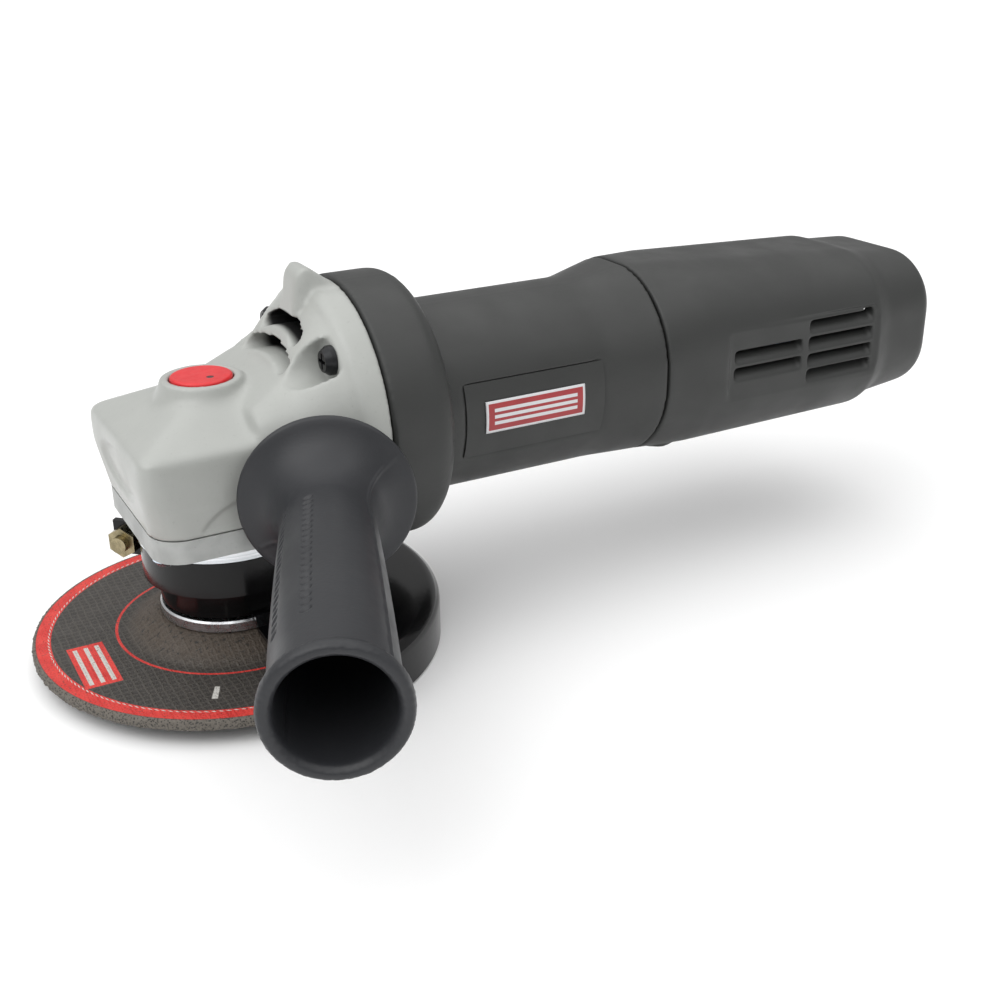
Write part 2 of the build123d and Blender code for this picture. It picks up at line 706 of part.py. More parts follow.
with BuildPart() as wheel_guard:
    # hood: flat top and deep skirt round the rear of the wheel
    start = radians(-guard_half_angle)
    hood_plane = Plane(
        origin=(0, 0, 0), x_dir=(cos(start), sin(start), 0), z_dir=(sin(start), -cos(start), 0)
    )
    with BuildSketch(hood_plane) as hood:
        with BuildLine():
            corner = 4.0
            top_z = guard_plate_z + guard_t
            Polyline(
                (18.2, guard_neck_z),
                (18.2, guard_neck_z + 1.5),
                (21.8, guard_neck_z + 1.5),
                (24.2, top_z),
                (guard_r - corner, top_z),
            )
            CenterArc((guard_r - corner, top_z - corner), corner, 90, -90)
            Line((guard_r, top_z - corner), (guard_r, guard_low))
            Line((guard_r, guard_low), (guard_r - 2.2, guard_low))
            Line((guard_r - 2.2, guard_low), (guard_r - 2.2, guard_low + 1.2))
            Line((guard_r - 2.2, guard_low + 1.2), (guard_r - guard_t, guard_low + 1.2))
            Line((guard_r - guard_t, guard_low + 1.2), (guard_r - guard_t, top_z - corner))
            CenterArc((guard_r - corner, top_z - corner), corner - guard_t, 0, 90)
            Polyline(
                (guard_r - corner, guard_plate_z),
                (23.3, guard_plate_z),
                (21.0, guard_neck_z),
                (18.2, guard_neck_z),
            )
        make_face()
    revolve(hood.sketch, axis=Axis.Z, revolution_arc=2 * guard_half_angle)
    # stepped neck and the collar that the clamp band squeezes
    ring(level(guard_neck_z), 24.8 - guard_neck_z, 19.7, 18.2)
    ring(level(24.3), 1.4, collar_out, 18.2)
    ring(level(24.3), 34.9 - 24.3, collar_out, collar_in)
wheel_guard.part.label = "wheel_guard"
export_step(wheel_guard.part, "parts/wheel_guard.step")

band_in = collar_out + 0.03
band_out = 23.9
ear_reach = 34.0
ear_gap = 3.4             # between the band's two ears
ear_t = 1.8
clamp_mid = (band_low + band_top) / 2
clamp_screw_r = 29.6

ear_plane = level(band_low).rotated((0, 0, clamp_angle))
with BuildPart() as guard_clamp_band:
    ring(level(band_low), band_top - band_low, band_out, band_in)
    for side in (-1, 1):
        with BuildSketch(ear_plane) as ear_outline:
            with Locations((band_in + 0.2, side * (ear_gap + ear_t) / 2)):
                Rectangle(ear_reach - band_in, ear_t, align=(Align.MIN, Align.CENTER))
        extrude(ear_outline.sketch, amount=band_top - band_low)
    with BuildSketch(ear_plane) as mouth:
        with Locations((band_in - 1, 0)):
            Rectangle(4.0, ear_gap, align=(Align.MIN, Align.CENTER))
    extrude(mouth.sketch, amount=band_top - band_low, mode=Mode.SUBTRACT)
    cross_plane = Plane(
        origin=(
            clamp_screw_r * cos(radians(clamp_angle)),
            clamp_screw_r * sin(radians(clamp_angle)),
            clamp_mid,
        ),
        x_dir=(0, 0, 1),
        z_dir=(sin(radians(clamp_angle)), -cos(radians(clamp_angle)), 0),
    )
    ring(cross_plane.offset(-10), 20.0, 2.6, mode=Mode.SUBTRACT)
guard_clamp_band.part.label = "guard_clamp_band"
export_step(guard_clamp_band.part, "parts/guard_clamp_band.step")

with BuildPart() as clamp_screw:
    flipped = Plane(origin=cross_plane.origin, x_dir=(0, 0, 1), z_dir=-cross_plane.z_dir)
    pan_screw(flipped.offset(-ear_gap / 2 - ear_t), 4.3, 2.8, 2.45, 13.0)
clamp_screw.part.label = "clamp_screw"
export_step(clamp_screw.part, "parts/clamp_screw.step")

with BuildPart() as clamp_nut:
    with BuildSketch(flipped.offset(ear_gap / 2 + ear_t)) as nut_face:
        RegularPolygon(4.6, 6)
        Circle(2.5, mode=Mode.SUBTRACT)
    extrude(nut_face.sketch, amount=4.0)
clamp_nut.part.label = "clamp_nut"
export_step(clamp_nut.part, "parts/clamp_nut.step")

# ---------------------------------------------------------------- side handle

hub_face = -6.5           # along the handle's axis, from the dish
hollow_start = 30.0
stud_end = 19.0
stud_head_h = 5.5
stud_head_r = 6.8

# The profile is drawn in the handle's own plane: x along the handle, y its radius.
outward = Vector(-sin(radians(handle_yaw)), -cos(radians(handle_yaw)), 0)
profile_plane = Plane(
    origin=(dish_centre[0], dish_centre[1], handle_z),
    x_dir=outward,
    z_dir=outward.cross(Vector(0, 0, 1)),
)
handle_axis = Axis((dish_centre[0], dish_centre[1], handle_z), outward)
stud_bore_r = stud_r - 0.08

with BuildPart() as side_handle:
    with BuildSketch(profile_plane) as grip:
        with BuildLine():
            Line((hub_face, stud_bore_r), (hub_face, 9.8))
            Line((hub_face, 9.8), (-1.4, 11.2))
            Line((-1.4, 11.2), (-1.4, dish_r - 1.4))
            ThreePointArc((-1.4, dish_r - 1.4), (0.0, dish_r), (1.4, dish_r - 1.4))
            Spline(
                (1.4, dish_r - 1.4),
                (3.2, 17.6),
                (8.0, 13.2),
                (17.5, 11.9),
                tangents=((0.35, -1.0), (1.0, -0.02)),
            )
            Spline(
                (17.5, 11.9),
                (51.0, 13.35),
                (grip_length - 6.0, 13.6),
                tangents=((1.0, 0.02), (1.0, 0.0)),
            )
            Spline(
                (grip_length - 6.0, 13.6),
                (grip_length - 2.8, grip_end_r),
                tangents=((1.0, 0.0), (0.5, 0.86)),
            )
            Line((grip_length - 2.8, grip_end_r), (grip_length - 0.9, grip_end_r))
            Line((grip_length - 0.9, grip_end_r), (grip_length, grip_end_r - 0.9))
            Line((grip_length, grip_end_r - 0.9), (grip_length, 12.9))
            Line((grip_length, 12.9), (grip_length - 2.0, 12.2))
            Line((grip_length - 2.0, 12.2), (hollow_start + 4.0, 10.2))
            Line((hollow_start + 4.0, 10.2), (hollow_start, 7.0))
            Line((hollow_start, 7.0), (hollow_start, 0.0))
            Line((hollow_start, 0.0), (stud_end, 0.0))
            Line((stud_end, 0.0), (stud_end, stud_bore_r))
            Line((stud_end, stud_bore_r), (hub_face, stud_bore_r))
        make_face()
    revolve(grip.sketch, axis=handle_axis)
    with BuildSketch(handle_plane(stud_end - stud_head_h)) as hex_seat:
        RegularPolygon(stud_head_r, 6)
    extrude(hex_seat.sketch, amount=stud_head_h, mode=Mode.SUBTRACT)
side_handle.part.label = "side_handle"
export_step(side_handle.part, "parts/side_handle.step")

stud_reach = 12.2         # how far the stud goes into the head
with BuildPart() as handle_stud:
    stud_length = stud_end - handle_boss_face + stud_reach
    ring(handle_plane(handle_boss_face - stud_reach), stud_length, stud_bore_r)
    with BuildSketch(handle_plane(stud_end - stud_head_h)) as hex_head:
        RegularPolygon(stud_head_r, 6)
    extrude(hex_head.sketch, amount=stud_head_h)
handle_stud.part.label = "handle_stud"
export_step(handle_stud.part, "parts/handle_stud.step")

with BuildPart() as handle_washer:
    ring(handle_plane(handle_boss_face), 1.2, 9.5, stud_r + 0.35)
handle_washer.part.label = "handle_washer"
export_step(handle_washer.part, "parts/handle_washer.step")

# ---------------------------------------------------------------- motor housing

panel_x = (63.5, 110.0)
panel_half = 11.3
panel_mid = -0.9          # middle of the panel, from the motor axis
slot_x = (74.0, 100.0)    # for the switch button's stem
tower_r = 24.8
tower_bore_r = 22.6
tower_end = 150.0
tower_root = 4.0          # length of the web that joins the tower to the flare

with BuildPart() as motor_housing:
    # round ring over the fan, with a rounded shoulder down to the barrel
    ring(across(flange_x + 0.2), ring_end - flange_x - 0.2, ring_r)
    fillet(motor_housing.edges().filter_by(GeomType.CIRCLE).group_by(Axis.X)[-1], 6.5)
    ring(across(flange_x + 0.2), seam_x - flange_x - 5.0, barrel_r)
    # flare up to the seam with the rear cover
    flare_small = rounded_tube_section(
        across(flare_x), 2 * barrel_r, motor_z - barrel_r, motor_z + barrel_r, barrel_r - 0.1
    )
    flare_large = rounded_tube_section(across(seam_x), 63.8, 36.4, 95.8, 28.8)
    loft([flare_small, flare_large], ruled=True)
    # tower inside the rear cover, which carries the brushes and the rear bearing
    ring(across(seam_x - tower_root), tower_end - seam_x + tower_root, tower_r)
    # hollow
    ring(across(flange_x), 16.0, 35.4, mode=Mode.SUBTRACT)
    bore_length = seam_x - tower_root - flange_x
    ring(across(flange_x), bore_length, barrel_bore_r, mode=Mode.SUBTRACT)
    ring(across(119.5), tower_end - 119.5, tower_bore_r, mode=Mode.SUBTRACT)
    for y, z in flange_screw_places:
        ring(shifted(across(flange_x + 0.2), y, z), 16.0, 4.3)
        ring(shifted(across(flange_x), y, z), 14.0, 1.95 + 0.02, mode=Mode.SUBTRACT)
    # bearing cup on three-armed spider
    ring(across(rear_bearing_x - 1.0), 9.0, 13.6)
    with BuildSketch(across(rear_bearing_x - 1.0)) as arms:
        Rectangle(7.0, 47.0)
        with Locations((-11.5, 0)):
            Rectangle(23.0, 7.0)
    extrude(arms.sketch, amount=9.0)
    ring(across(rear_bearing_x), 8.0, 11.0 + 0.02, mode=Mode.SUBTRACT)
    ring(across(rear_bearing_x - 2.0), 10.0, 5.0, mode=Mode.SUBTRACT)
    # windows for the brush holders
    for side in (-1, 1):
        middle = motor_z + side * 25.0
        block((125.3, -5.2, middle - 4.5), (134.7, 5.2, middle + 4.5), mode=Mode.SUBTRACT)
    # way for the switch rod, and the slot of the switch button
    block((118.0, 21.5, motor_z - 3.4), (155.0, 27.2, motor_z + 3.4), mode=Mode.SUBTRACT)
    block((slot_x[0], 20.0, motor_z - 3.4), (slot_x[1], 40.0, motor_z + 3.4), mode=Mode.SUBTRACT)
    # pocket of the side panel
    with BuildSketch(across(panel_x[0])) as pocket:
        with Locations((-barrel_r, panel_mid)):
            Rectangle(14.0, 2 * panel_half)
        Circle(barrel_r - 1.3, mode=Mode.SUBTRACT)
    extrude(pocket.sketch, amount=panel_x[1] - panel_x[0], mode=Mode.SUBTRACT)
    # threads of the rear cover's screws
    for y in (-cover_screw_y, cover_screw_y):
        ring(level(30.0).move(Location((cover_screw_x, y, 0))), 16.0, 1.9, mode=Mode.SUBTRACT)
motor_housing.part.label = "motor_housing"
export_step(motor_housing.part, "parts/motor_housing.step")

with BuildPart() as side_panel:
    with BuildSketch(across(panel_x[0] + 0.35)) as panel_outline:
        with Locations((-barrel_r, panel_mid)):
            Rectangle(14.0, 2 * panel_half - 0.7)
        Circle(barrel_r - 1.25, mode=Mode.SUBTRACT)
    extrude(panel_outline.sketch, amount=panel_x[1] - panel_x[0] - 0.7)
    with BuildSketch(across(panel_x[0])) as panel_limit:
        Circle(barrel_r - 0.05)
    extrude(panel_limit.sketch, amount=panel_x[1] - panel_x[0], mode=Mode.INTERSECT)
side_panel.part.label = "side_panel"
export_step(side_panel.part, "parts/side_panel.step")

with BuildPart() as air_baffle:
    ring(across(51.0), 2.0, 27.2, 18.0)
air_baffle.part.label = "air_baffle"
export_step(air_baffle.part, "parts/air_baffle.step")

stator_flat = 22.7
with BuildPart() as stator_core:
    with BuildSketch(across(core_x[0])) as lamination:
        Circle(barrel_bore_r - 0.05)
        Rectangle(2 * stator_flat, 60.0, mode=Mode.INTERSECT)
        Circle(stator_bore_r, mode=Mode.SUBTRACT)
    extrude(lamination.sketch, amount=core_x[1] - core_x[0])
    for middle in (-90 - 28, -90 + 28, 90 - 28, 90 + 28):
        sector((core_x[0] - 1, core_x[1] + 1), 16.0, 21.6, middle - 9.0, 18.0, mode=Mode.SUBTRACT)
stator_core.part.label = "stator_core"
export_step(stator_core.part, "parts/stator_core.step")

with BuildPart() as stator_windings:
    for pole in (0, 180):
        for x_span in ((core_x[0] - 8.0, core_x[0] - 0.1), (core_x[1] + 0.1, core_x[1] + 8.0)):
            sector(x_span, 17.6, 21.4, pole - 70.0, 140.0)
        for leg in (pole - 70.0, pole + 54.0):
            sector((core_x[0] - 2.0, core_x[1] + 2.0), 17.6, 21.4, leg, 16.0)
stator_windings.part.label = "stator_windings"
export_step(stator_windings.part, "parts/stator_windings.step")

with BuildPart() as rear_bearing_outer:
    race(across(rear_bearing_x), 6.0, 3.5, 9.5, 6.5, 1.5, False)
rear_bearing_outer.part.label = "rear_bearing_outer"
export_step(rear_bearing_outer.part, "parts/rear_bearing_outer.step")

with BuildPart() as rear_bearing_balls:
    balls(across(rear_bearing_x), 6.0, 6.5, 1.5, 8)
rear_bearing_balls.part.label = "rear_bearing_balls"
export_step(rear_bearing_balls.part, "parts/rear_bearing_balls.step")

with BuildPart() as rear_bearing_sleeve:
    ring(across(rear_bearing_x), 7.0, 11.0, 9.5 + 0.02)
rear_bearing_sleeve.part.label = "rear_bearing_sleeve"
export_step(rear_bearing_sleeve.part, "parts/rear_bearing_sleeve.step")

# ---------------------------------------------------------------- brushes

brush_in = commutator_r + 0.1
brush_length = 7.0
brush_spring_h = 4.4
holder_in = 13.0
holder_out = 24.6
brush_sides = (-1, 1)

with BuildPart() as brush_holders:
    for side in brush_sides:
        low = motor_z + (holder_in if side > 0 else -holder_out)
        high = motor_z + (holder_out if side > 0 else -holder_in)
        block((125.5, -5.0, low), (134.5, 5.0, high))
        cap = 1.2
        hole_low = low if side > 0 else low + cap
        hole_high = high - cap if side > 0 else high
        block((126.9, -3.6, hole_low), (133.1, 3.6, hole_high), mode=Mode.SUBTRACT)
brush_holders.part.label = "brush_holders"
export_step(brush_holders.part, "parts/brush_holders.step")

with BuildPart() as brushes:
    for side in brush_sides:
        near = motor_z + side * brush_in
        far = motor_z + side * (brush_in + brush_length)
        block((127.0, -3.5, min(near, far)), (133.0, 3.5, max(near, far)))
brushes.part.label = "brushes"
export_step(brushes.part, "parts/brushes.step")

with BuildPart() as brush_springs:
    for side in brush_sides:
        near = motor_z + side * (brush_in + brush_length + 0.4)
        far = near + side * brush_spring_h
        coil(level(min(near, far)).move(Location((130.0, 0, 0))), 2.3, 0.3, brush_spring_h, 4)
brush_springs.part.label = "brush_springs"
export_step(brush_springs.part, "parts/brush_springs.step")

# ---------------------------------------------------------------- rear cover

inlet_r = 4.2
inlet_z = 66.0
clamp_low = inlet_z - 4.0
clamp_top = inlet_z - 1.6
post_low = 42.5           # inside the cover's wall


def cover_stage(stages, inset):
    """Lofted body of the rear cover; each stage is x, width, low, high and corner radius."""
    for near, far in zip(stages, stages[1:]):
        pair = []
        for x, width, low, high, corner in (near, far):
            pair.append(
                rounded_tube_section(
                    across(x), width - 2 * inset, low + inset, high - inset, corner - inset
                )
            )
        yield pair


cover_stages = [
    (seam_x + 0.4, 64.0, 36.3, 95.9, 29.0),
    (146.0, 64.0, 36.6, 95.2, 25.0),
    (rear_step_x - 6.0, 64.0, 38.4, 91.6, 22.0),
    (rear_step_x, 60.0, 40.6, 90.0, 20.5),
    (end_x - 4.0, 57.5, 42.8, 88.8, 18.0),
    (end_x, 50.5, 44.2, 85.2, 14.5),
]

with BuildPart() as rear_cover:
    for pair in cover_stage(cover_stages, 0.0):
        loft(pair, ruled=True)
    room = [(seam_x, *cover_stages[0][1:]), *cover_stages[1:-1]]
    for pair in cover_stage(room, cover_wall):
        loft(pair, ruled=True, mode=Mode.SUBTRACT)
    # recessed vent panels on both sides
    pitch = (vent_high - vent_low) / vent_rows
    for side in (-1, 1):
        y_out = side * 32.0
        with BuildSketch(Plane.XZ.offset(-y_out)) as recess:
            with Locations((vent_mid_x, (vent_low + vent_high) / 2)):
                RectangleRounded(vent_length, vent_high - vent_low + 1.6, 3.0)
        extrude(recess.sketch, amount=1.0, both=True, mode=Mode.SUBTRACT)
        for row in range(vent_rows):
            z = vent_low + (row + 0.5) * pitch
            # the front column's outer rows stay closed
            for middle in vent_columns[:1] if row in (0, vent_rows - 1) else vent_columns:
                with BuildSketch(Plane.XZ.offset(-y_out)) as louvre:
                    with Locations((middle, z)):
                        Rectangle(louvre_length, louvre_height)
                extrude(louvre.sketch, amount=6.0, both=True, mode=Mode.SUBTRACT)
    # screw seats under the front of the cover, cord inlet, and posts of the cord clamp
    for y in (-cover_screw_y, cover_screw_y):
        ring(level(37.0).move(Location((cover_screw_x, y, 0))), 3.0, 4.6)
        ring(level(30.0).move(Location((cover_screw_x, y, 0))), 12.0, 2.1, mode=Mode.SUBTRACT)
        bore_length = cover_screw_seat - 30.0
        ring(level(30.0).move(Location((cover_screw_x, y, 0))), bore_length, 3.9, mode=Mode.SUBTRACT)
    ring(Plane(origin=(end_x - 4.5, 0, inlet_z), z_dir=(1, 0, 0)), 10.0, inlet_r, mode=Mode.SUBTRACT)
    for y in (-clamp_screw_y, clamp_screw_y):
        ring(level(post_low).move(Location((clamp_x, y, 0))), clamp_low - post_low, 3.2)
        ring(level(48.0).move(Location((clamp_x, y, 0))), 20.0, 1.45, mode=Mode.SUBTRACT)
rear_cover.part.label = "rear_cover"
export_step(rear_cover.part, "parts/rear_cover.step")

with BuildPart() as rear_cover_screws:
    for y in (-cover_screw_y, cover_screw_y):
        seat = level(cover_screw_seat).move(Location((cover_screw_x, y, 0)))
        pan_screw(seat, 3.6, 2.0, 1.85, 6.0)
rear_cover_screws.part.label = "rear_cover_screws"
export_step(rear_cover_screws.part, "parts/rear_cover_screws.step")

with BuildPart() as cord_clamp:
    block((clamp_x - 3.2, -12.5, clamp_low), (clamp_x + 3.2, 12.5, clamp_top))
    for y in (-clamp_screw_y, clamp_screw_y):
        ring(level(clamp_low - 1.0).move(Location((clamp_x, y, 0))), 5.0, 1.6, mode=Mode.SUBTRACT)
cord_clamp.part.label = "cord_clamp"
export_step(cord_clamp.part, "parts/cord_clamp.step")

with BuildPart() as cord_clamp_screws:
    for y in (-clamp_screw_y, clamp_screw_y):
        head_seat = Plane(origin=(clamp_x, y, clamp_top), z_dir=(0, 0, -1))
        pan_screw(head_seat, 2.8, 2.0, 1.42, 12.0)
cord_clamp_screws.part.label = "cord_clamp_screws"
export_step(cord_clamp_screws.part, "parts/cord_clamp_screws.step")

# ---------------------------------------------------------------- switch

rod_y = (23.1, 24.9)
rod_half = 2.5
with BuildPart() as switch_rod:
    block((84.0, rod_y[0], motor_z - rod_half), (173.0, rod_y[1], motor_z + rod_half))
    block((170.6, 12.0, motor_z - rod_half), (173.0, rod_y[1], motor_z + rod_half))
switch_rod.part.label = "switch_rod"
export_step(switch_rod.part, "parts/switch_rod.step")

with BuildPart() as slide_button:
    block((82.5, rod_y[1], motor_z - 3.0), (92.5, 29.4, motor_z + 3.0))
    with BuildSketch(Plane.XZ.offset(-(barrel_r + 0.4))) as pad:
        with Locations((87.0, motor_z)):
            RectangleRounded(24.0, 13.0, 3.0)
    extrude(pad.sketch, amount=-3.4)
    fillet(slide_button.edges().group_by(Axis.Y)[-1], 1.0)
    for x in (79.0, 83.0, 87.0, 91.0, 95.0):
        block((x - 0.5, 31.5, motor_z - 5.0), (x + 0.5, 33.0, motor_z + 5.0), mode=Mode.SUBTRACT)
slide_button.part.label = "slide_button"
export_step(slide_button.part, "parts/slide_button.step")

with BuildPart() as switch_body:
    block((173.4, 4.0, 52.0), (208.0, 22.0, 74.0))
    fillet(switch_body.edges().filter_by(Axis.X), 1.0)
switch_body.part.label = "switch_body"
export_step(switch_body.part, "parts/switch_body.step")

with BuildPart() as suppression_capacitor:
    block((176.0, -20.0, 56.0), (194.0, -2.0, 70.0))
    fillet(suppression_capacitor.edges(), 1.5)
suppression_capacitor.part.label = "suppression_capacitor"
export_step(suppression_capacitor.part, "parts/suppression_capacitor.step")
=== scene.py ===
"""Looks of the angle grinder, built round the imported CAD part. Lengths here are in millimetres
until a mesh is finished, and then it is scaled to metres."""

from math import atan2, cos, hypot, pi, radians, sin

import bmesh
import bpy
from mathutils import Matrix, Vector, noise
from mathutils.geometry import interpolate_bezier


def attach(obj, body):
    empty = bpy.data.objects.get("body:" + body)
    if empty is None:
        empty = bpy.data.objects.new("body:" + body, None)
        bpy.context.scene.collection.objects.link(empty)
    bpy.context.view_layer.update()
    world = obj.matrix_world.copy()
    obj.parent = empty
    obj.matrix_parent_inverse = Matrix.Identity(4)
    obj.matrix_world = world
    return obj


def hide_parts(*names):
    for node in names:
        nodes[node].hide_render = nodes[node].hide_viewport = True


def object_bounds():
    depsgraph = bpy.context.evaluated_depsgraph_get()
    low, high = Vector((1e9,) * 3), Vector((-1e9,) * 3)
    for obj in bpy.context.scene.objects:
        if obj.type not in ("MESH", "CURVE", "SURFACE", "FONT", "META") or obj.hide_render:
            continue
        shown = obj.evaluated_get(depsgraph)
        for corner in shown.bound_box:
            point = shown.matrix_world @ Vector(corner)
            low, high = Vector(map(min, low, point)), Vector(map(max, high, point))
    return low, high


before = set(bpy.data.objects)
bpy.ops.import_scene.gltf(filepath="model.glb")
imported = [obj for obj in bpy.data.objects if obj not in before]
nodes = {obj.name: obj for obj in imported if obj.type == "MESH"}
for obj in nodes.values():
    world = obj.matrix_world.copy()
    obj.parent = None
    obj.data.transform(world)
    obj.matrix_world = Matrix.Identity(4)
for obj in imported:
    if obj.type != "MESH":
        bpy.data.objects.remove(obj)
cad_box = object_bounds()

MM = 0.001

# Places that the CAD part gives, in millimetres.
MOTOR_Z = 64.2
BUTTON_X = -2.3
HANDLE_START = Vector((15.9, -41.5, 55.9))
HANDLE_YAW = radians(21.3)
BARREL_R = 28.3
SEAM_X = 130.0
BADGE_X = 86.1
BADGE_HALF = (16.35, 4.65)
HEAD_VENTS = ((86.0, 13.6, 1.9), (93.0, 11.0, 2.5))   # middle height, half width, drop to the ends


# ---------------------------------------------------------------- materials


def tone(red, green, blue):
    """Linear colour from everyday 0 to 255 values."""
    linear = []
    for value in (red, green, blue):
        share = value / 255
        linear.append(share / 12.92 if share <= 0.04045 else ((share + 0.055) / 1.055) ** 2.4)
    return (*linear, 1.0)


def scaled(colour, factor):
    """A colour made lighter or darker."""
    return (*[min(1.0, part * factor) for part in colour[:3]], 1.0)


class Finish:
    """A procedural material. Colour, roughness and heights are built up and joined at the end."""

    def __init__(self, name, metal=0.0, coat=0.0, gloss=0.5):
        self.name = name
        self.material = bpy.data.materials.new(name + "_finish")
        self.material.use_nodes = True
        self.tree = self.material.node_tree
        self.shader = self.tree.nodes["Principled BSDF"]
        self.shader.inputs["Metallic"].default_value = metal
        self.shader.inputs["Coat Weight"].default_value = coat
        self.shader.inputs["Coat Roughness"].default_value = 0.08
        self.shader.inputs["Specular IOR Level"].default_value = gloss
        self.place = self.tree.nodes.new("ShaderNodeTexCoord").outputs["Object"]
        self.colour = None
        self.roughness = None
        self.heights = []

    def node(self, kind, inputs, **settings):
        made = self.tree.nodes.new("ShaderNode" + kind)
        for key, value in settings.items():
            setattr(made, key, value)
        for key, value in inputs.items():
            if isinstance(value, bpy.types.NodeSocket):
                self.tree.links.new(value, made.inputs[key])
            else:
                made.inputs[key].default_value = value
        return made

    def math(self, operation, first, second=0.0, third=0.0):
        made = self.node("Math", {0: first, 1: second, 2: third}, operation=operation)
        return made.outputs[0]

    def ramp(self, value, low, high, start=0.0, end=1.0):
        """Soft step from start to end while value goes from low to high."""
        names = {"Value": value, "From Min": low, "From Max": high, "To Min": start, "To Max": end}
        return self.node("MapRange", names, interpolation_type="SMOOTHSTEP").outputs["Result"]

    def between(self, value, low, high, edge):
        """One inside a span of a value, with soft edges, and nothing outside it."""
        rise = self.ramp(value, low - edge, low + edge)
        fall = self.ramp(value, high - edge, high + edge, 1.0, 0.0)
        return self.math("MULTIPLY", rise, fall)

    def mix(self, share, first, second):
        made = self.node("Mix", {0: share, 6: first, 7: second}, data_type="RGBA")
        return made.outputs[2]

    def noise(self, size, detail=3.0, place=None, stretch=None):
        """Noise whose features are about size millimetres across."""
        place = place or self.place
        if stretch:
            place = self.node("Mapping", {"Vector": place, "Scale": stretch}).outputs[0]
        names = {"Vector": place, "Scale": 1000.0 / size, "Detail": detail}
        return self.node("TexNoise", names).outputs["Fac"]

    def axes(self):
        parts = self.node("SeparateXYZ", {0: self.place})
        return parts.outputs[0], parts.outputs[1], parts.outputs[2]

    def radius(self):
        """Distance from the spindle's axis, in millimetres."""
        x, y, _ = self.axes()
        square = self.math("ADD", self.math("MULTIPLY", x, x), self.math("MULTIPLY", y, y))
        return self.math("MULTIPLY", self.math("SQRT", square), 1000.0)

    def turned(self, pitch):
        """Fine rings left by a lathe, about the spindle's axis."""
        _, _, z = self.axes()
        across = self.math("DIVIDE", self.radius(), 1000.0)
        vector = self.node("CombineXYZ", {0: across, 1: z, 2: 0.0}).outputs[0]
        return self.noise(pitch, 2.0, vector)

    def done(self):
        shader = self.shader.inputs
        if isinstance(self.colour, bpy.types.NodeSocket):
            self.tree.links.new(self.colour, shader["Base Color"])
        self.tree.links.new(self.roughness, shader["Roughness"])
        normal = None
        for height, depth in self.heights:
            names = {"Height": height, "Distance": depth * MM, "Strength": 1.0}
            if normal:
                names["Normal"] = normal
            normal = self.node("Bump", names).outputs["Normal"]
        if normal:
            self.tree.links.new(normal, shader["Normal"])
        return self.material


def surface(name, colour, rough, metal=0.0, grain=0.5, depth=0.01, mottle=18.0, change=0.1,
            coat=0.0, gloss=0.5, scuff=0.15, swing=0.07):
    """Ground coat of every finish: uneven colour, uneven sheen, fine grain and light scuffs."""
    made = Finish(name, metal, coat, gloss)
    blotches = made.ramp(made.noise(mottle), 0.3, 0.7)
    made.colour = made.mix(blotches, scaled(colour, 1.0 - change), scaled(colour, 1.0 + change))
    specks = made.noise(grain, 2.0)
    made.colour = made.mix(made.ramp(specks, 0.62, 0.8, 0.0, 0.25), made.colour, scaled(colour, 0.6))
    rubs = made.noise(9.0, 6.0, stretch=(1.0, 0.35, 2.2))
    rubbed = made.ramp(rubs, 0.6, 0.78, 0.0, scuff)
    made.colour = made.mix(rubbed, made.colour, scaled(colour, 1.35))
    even = made.ramp(made.noise(mottle * 0.4), 0.25, 0.75, rough - swing, rough + swing)
    made.roughness = made.math("ADD", even, made.math("MULTIPLY", rubbed, 0.35))
    made.heights.append((specks, depth))
    return made


def cast_paint():
    """Satin light grey paint on a casting."""
    made = surface("cast_paint", tone(164, 166, 162), 0.42, grain=0.9, depth=0.012, mottle=30.0,
                   change=0.035, scuff=0.1, coat=0.15)
    marks = made.noise(3.2, 1.0)
    made.heights.append((made.ramp(marks, 0.35, 0.65), 0.02))
    # painted shade: the insides of the two vents are darkened in colour, standing in for the shadow that falls inside
    # them
    x, y, z = made.axes()
    for crown, half, drop in HEAD_VENTS:
        share = made.math("DIVIDE", y, half * MM)
        sag = made.math("MULTIPLY", made.math("MULTIPLY", share, share), drop)
        off = made.math("SUBTRACT", made.math("ADD", made.math("MULTIPLY", z, 1000.0), sag), crown)
        inside = made.math("MULTIPLY", made.between(off, -2.4, 2.4, 0.25),
                           made.between(made.math("MULTIPLY", y, 1000.0), -half - 2.2, half + 2.2, 0.3))
        deep = made.math("MULTIPLY", inside, made.ramp(x, 0.0205, 0.0235))
        # dark grey painted shade for the vent insides
        made.colour = made.mix(deep, made.colour, tone(26, 26, 26))
    return made


def bearing_cover_metal():
    """Bare cast flange over a ring that is machined bright; below it the neck is dark."""
    made = surface("bare_casting", tone(168, 170, 168), 0.45, metal=0.75, grain=0.7, depth=0.02,
                   mottle=8.0, change=0.12)
    _, _, z = made.axes()
    bright = made.between(made.math("MULTIPLY", z, 1000.0), 26.0, 39.95, 0.1)
    rings = made.turned(0.35)
    streaks = made.ramp(rings, 0.35, 0.65)
    machined = made.mix(streaks, tone(215, 220, 224), tone(250, 252, 255))
    made.colour = made.mix(bright, made.colour, machined)
    made.roughness = made.ramp(bright, 0.0, 1.0, 0.5, 0.2)
    made.heights.append((made.math("MULTIPLY", rings, bright), 0.01))
    return made


def turned_steel(name, colour, rough):
    """Bare steel off a lathe."""
    made = surface(name, colour, rough, metal=1.0, grain=0.4, depth=0.004, mottle=6.0)
    rings = made.turned(0.3)
    made.colour = made.mix(made.ramp(rings, 0.4, 0.7, 0.0, 0.5), made.colour, scaled(colour, 0.55))
    made.heights.append((rings, 0.012))
    return made


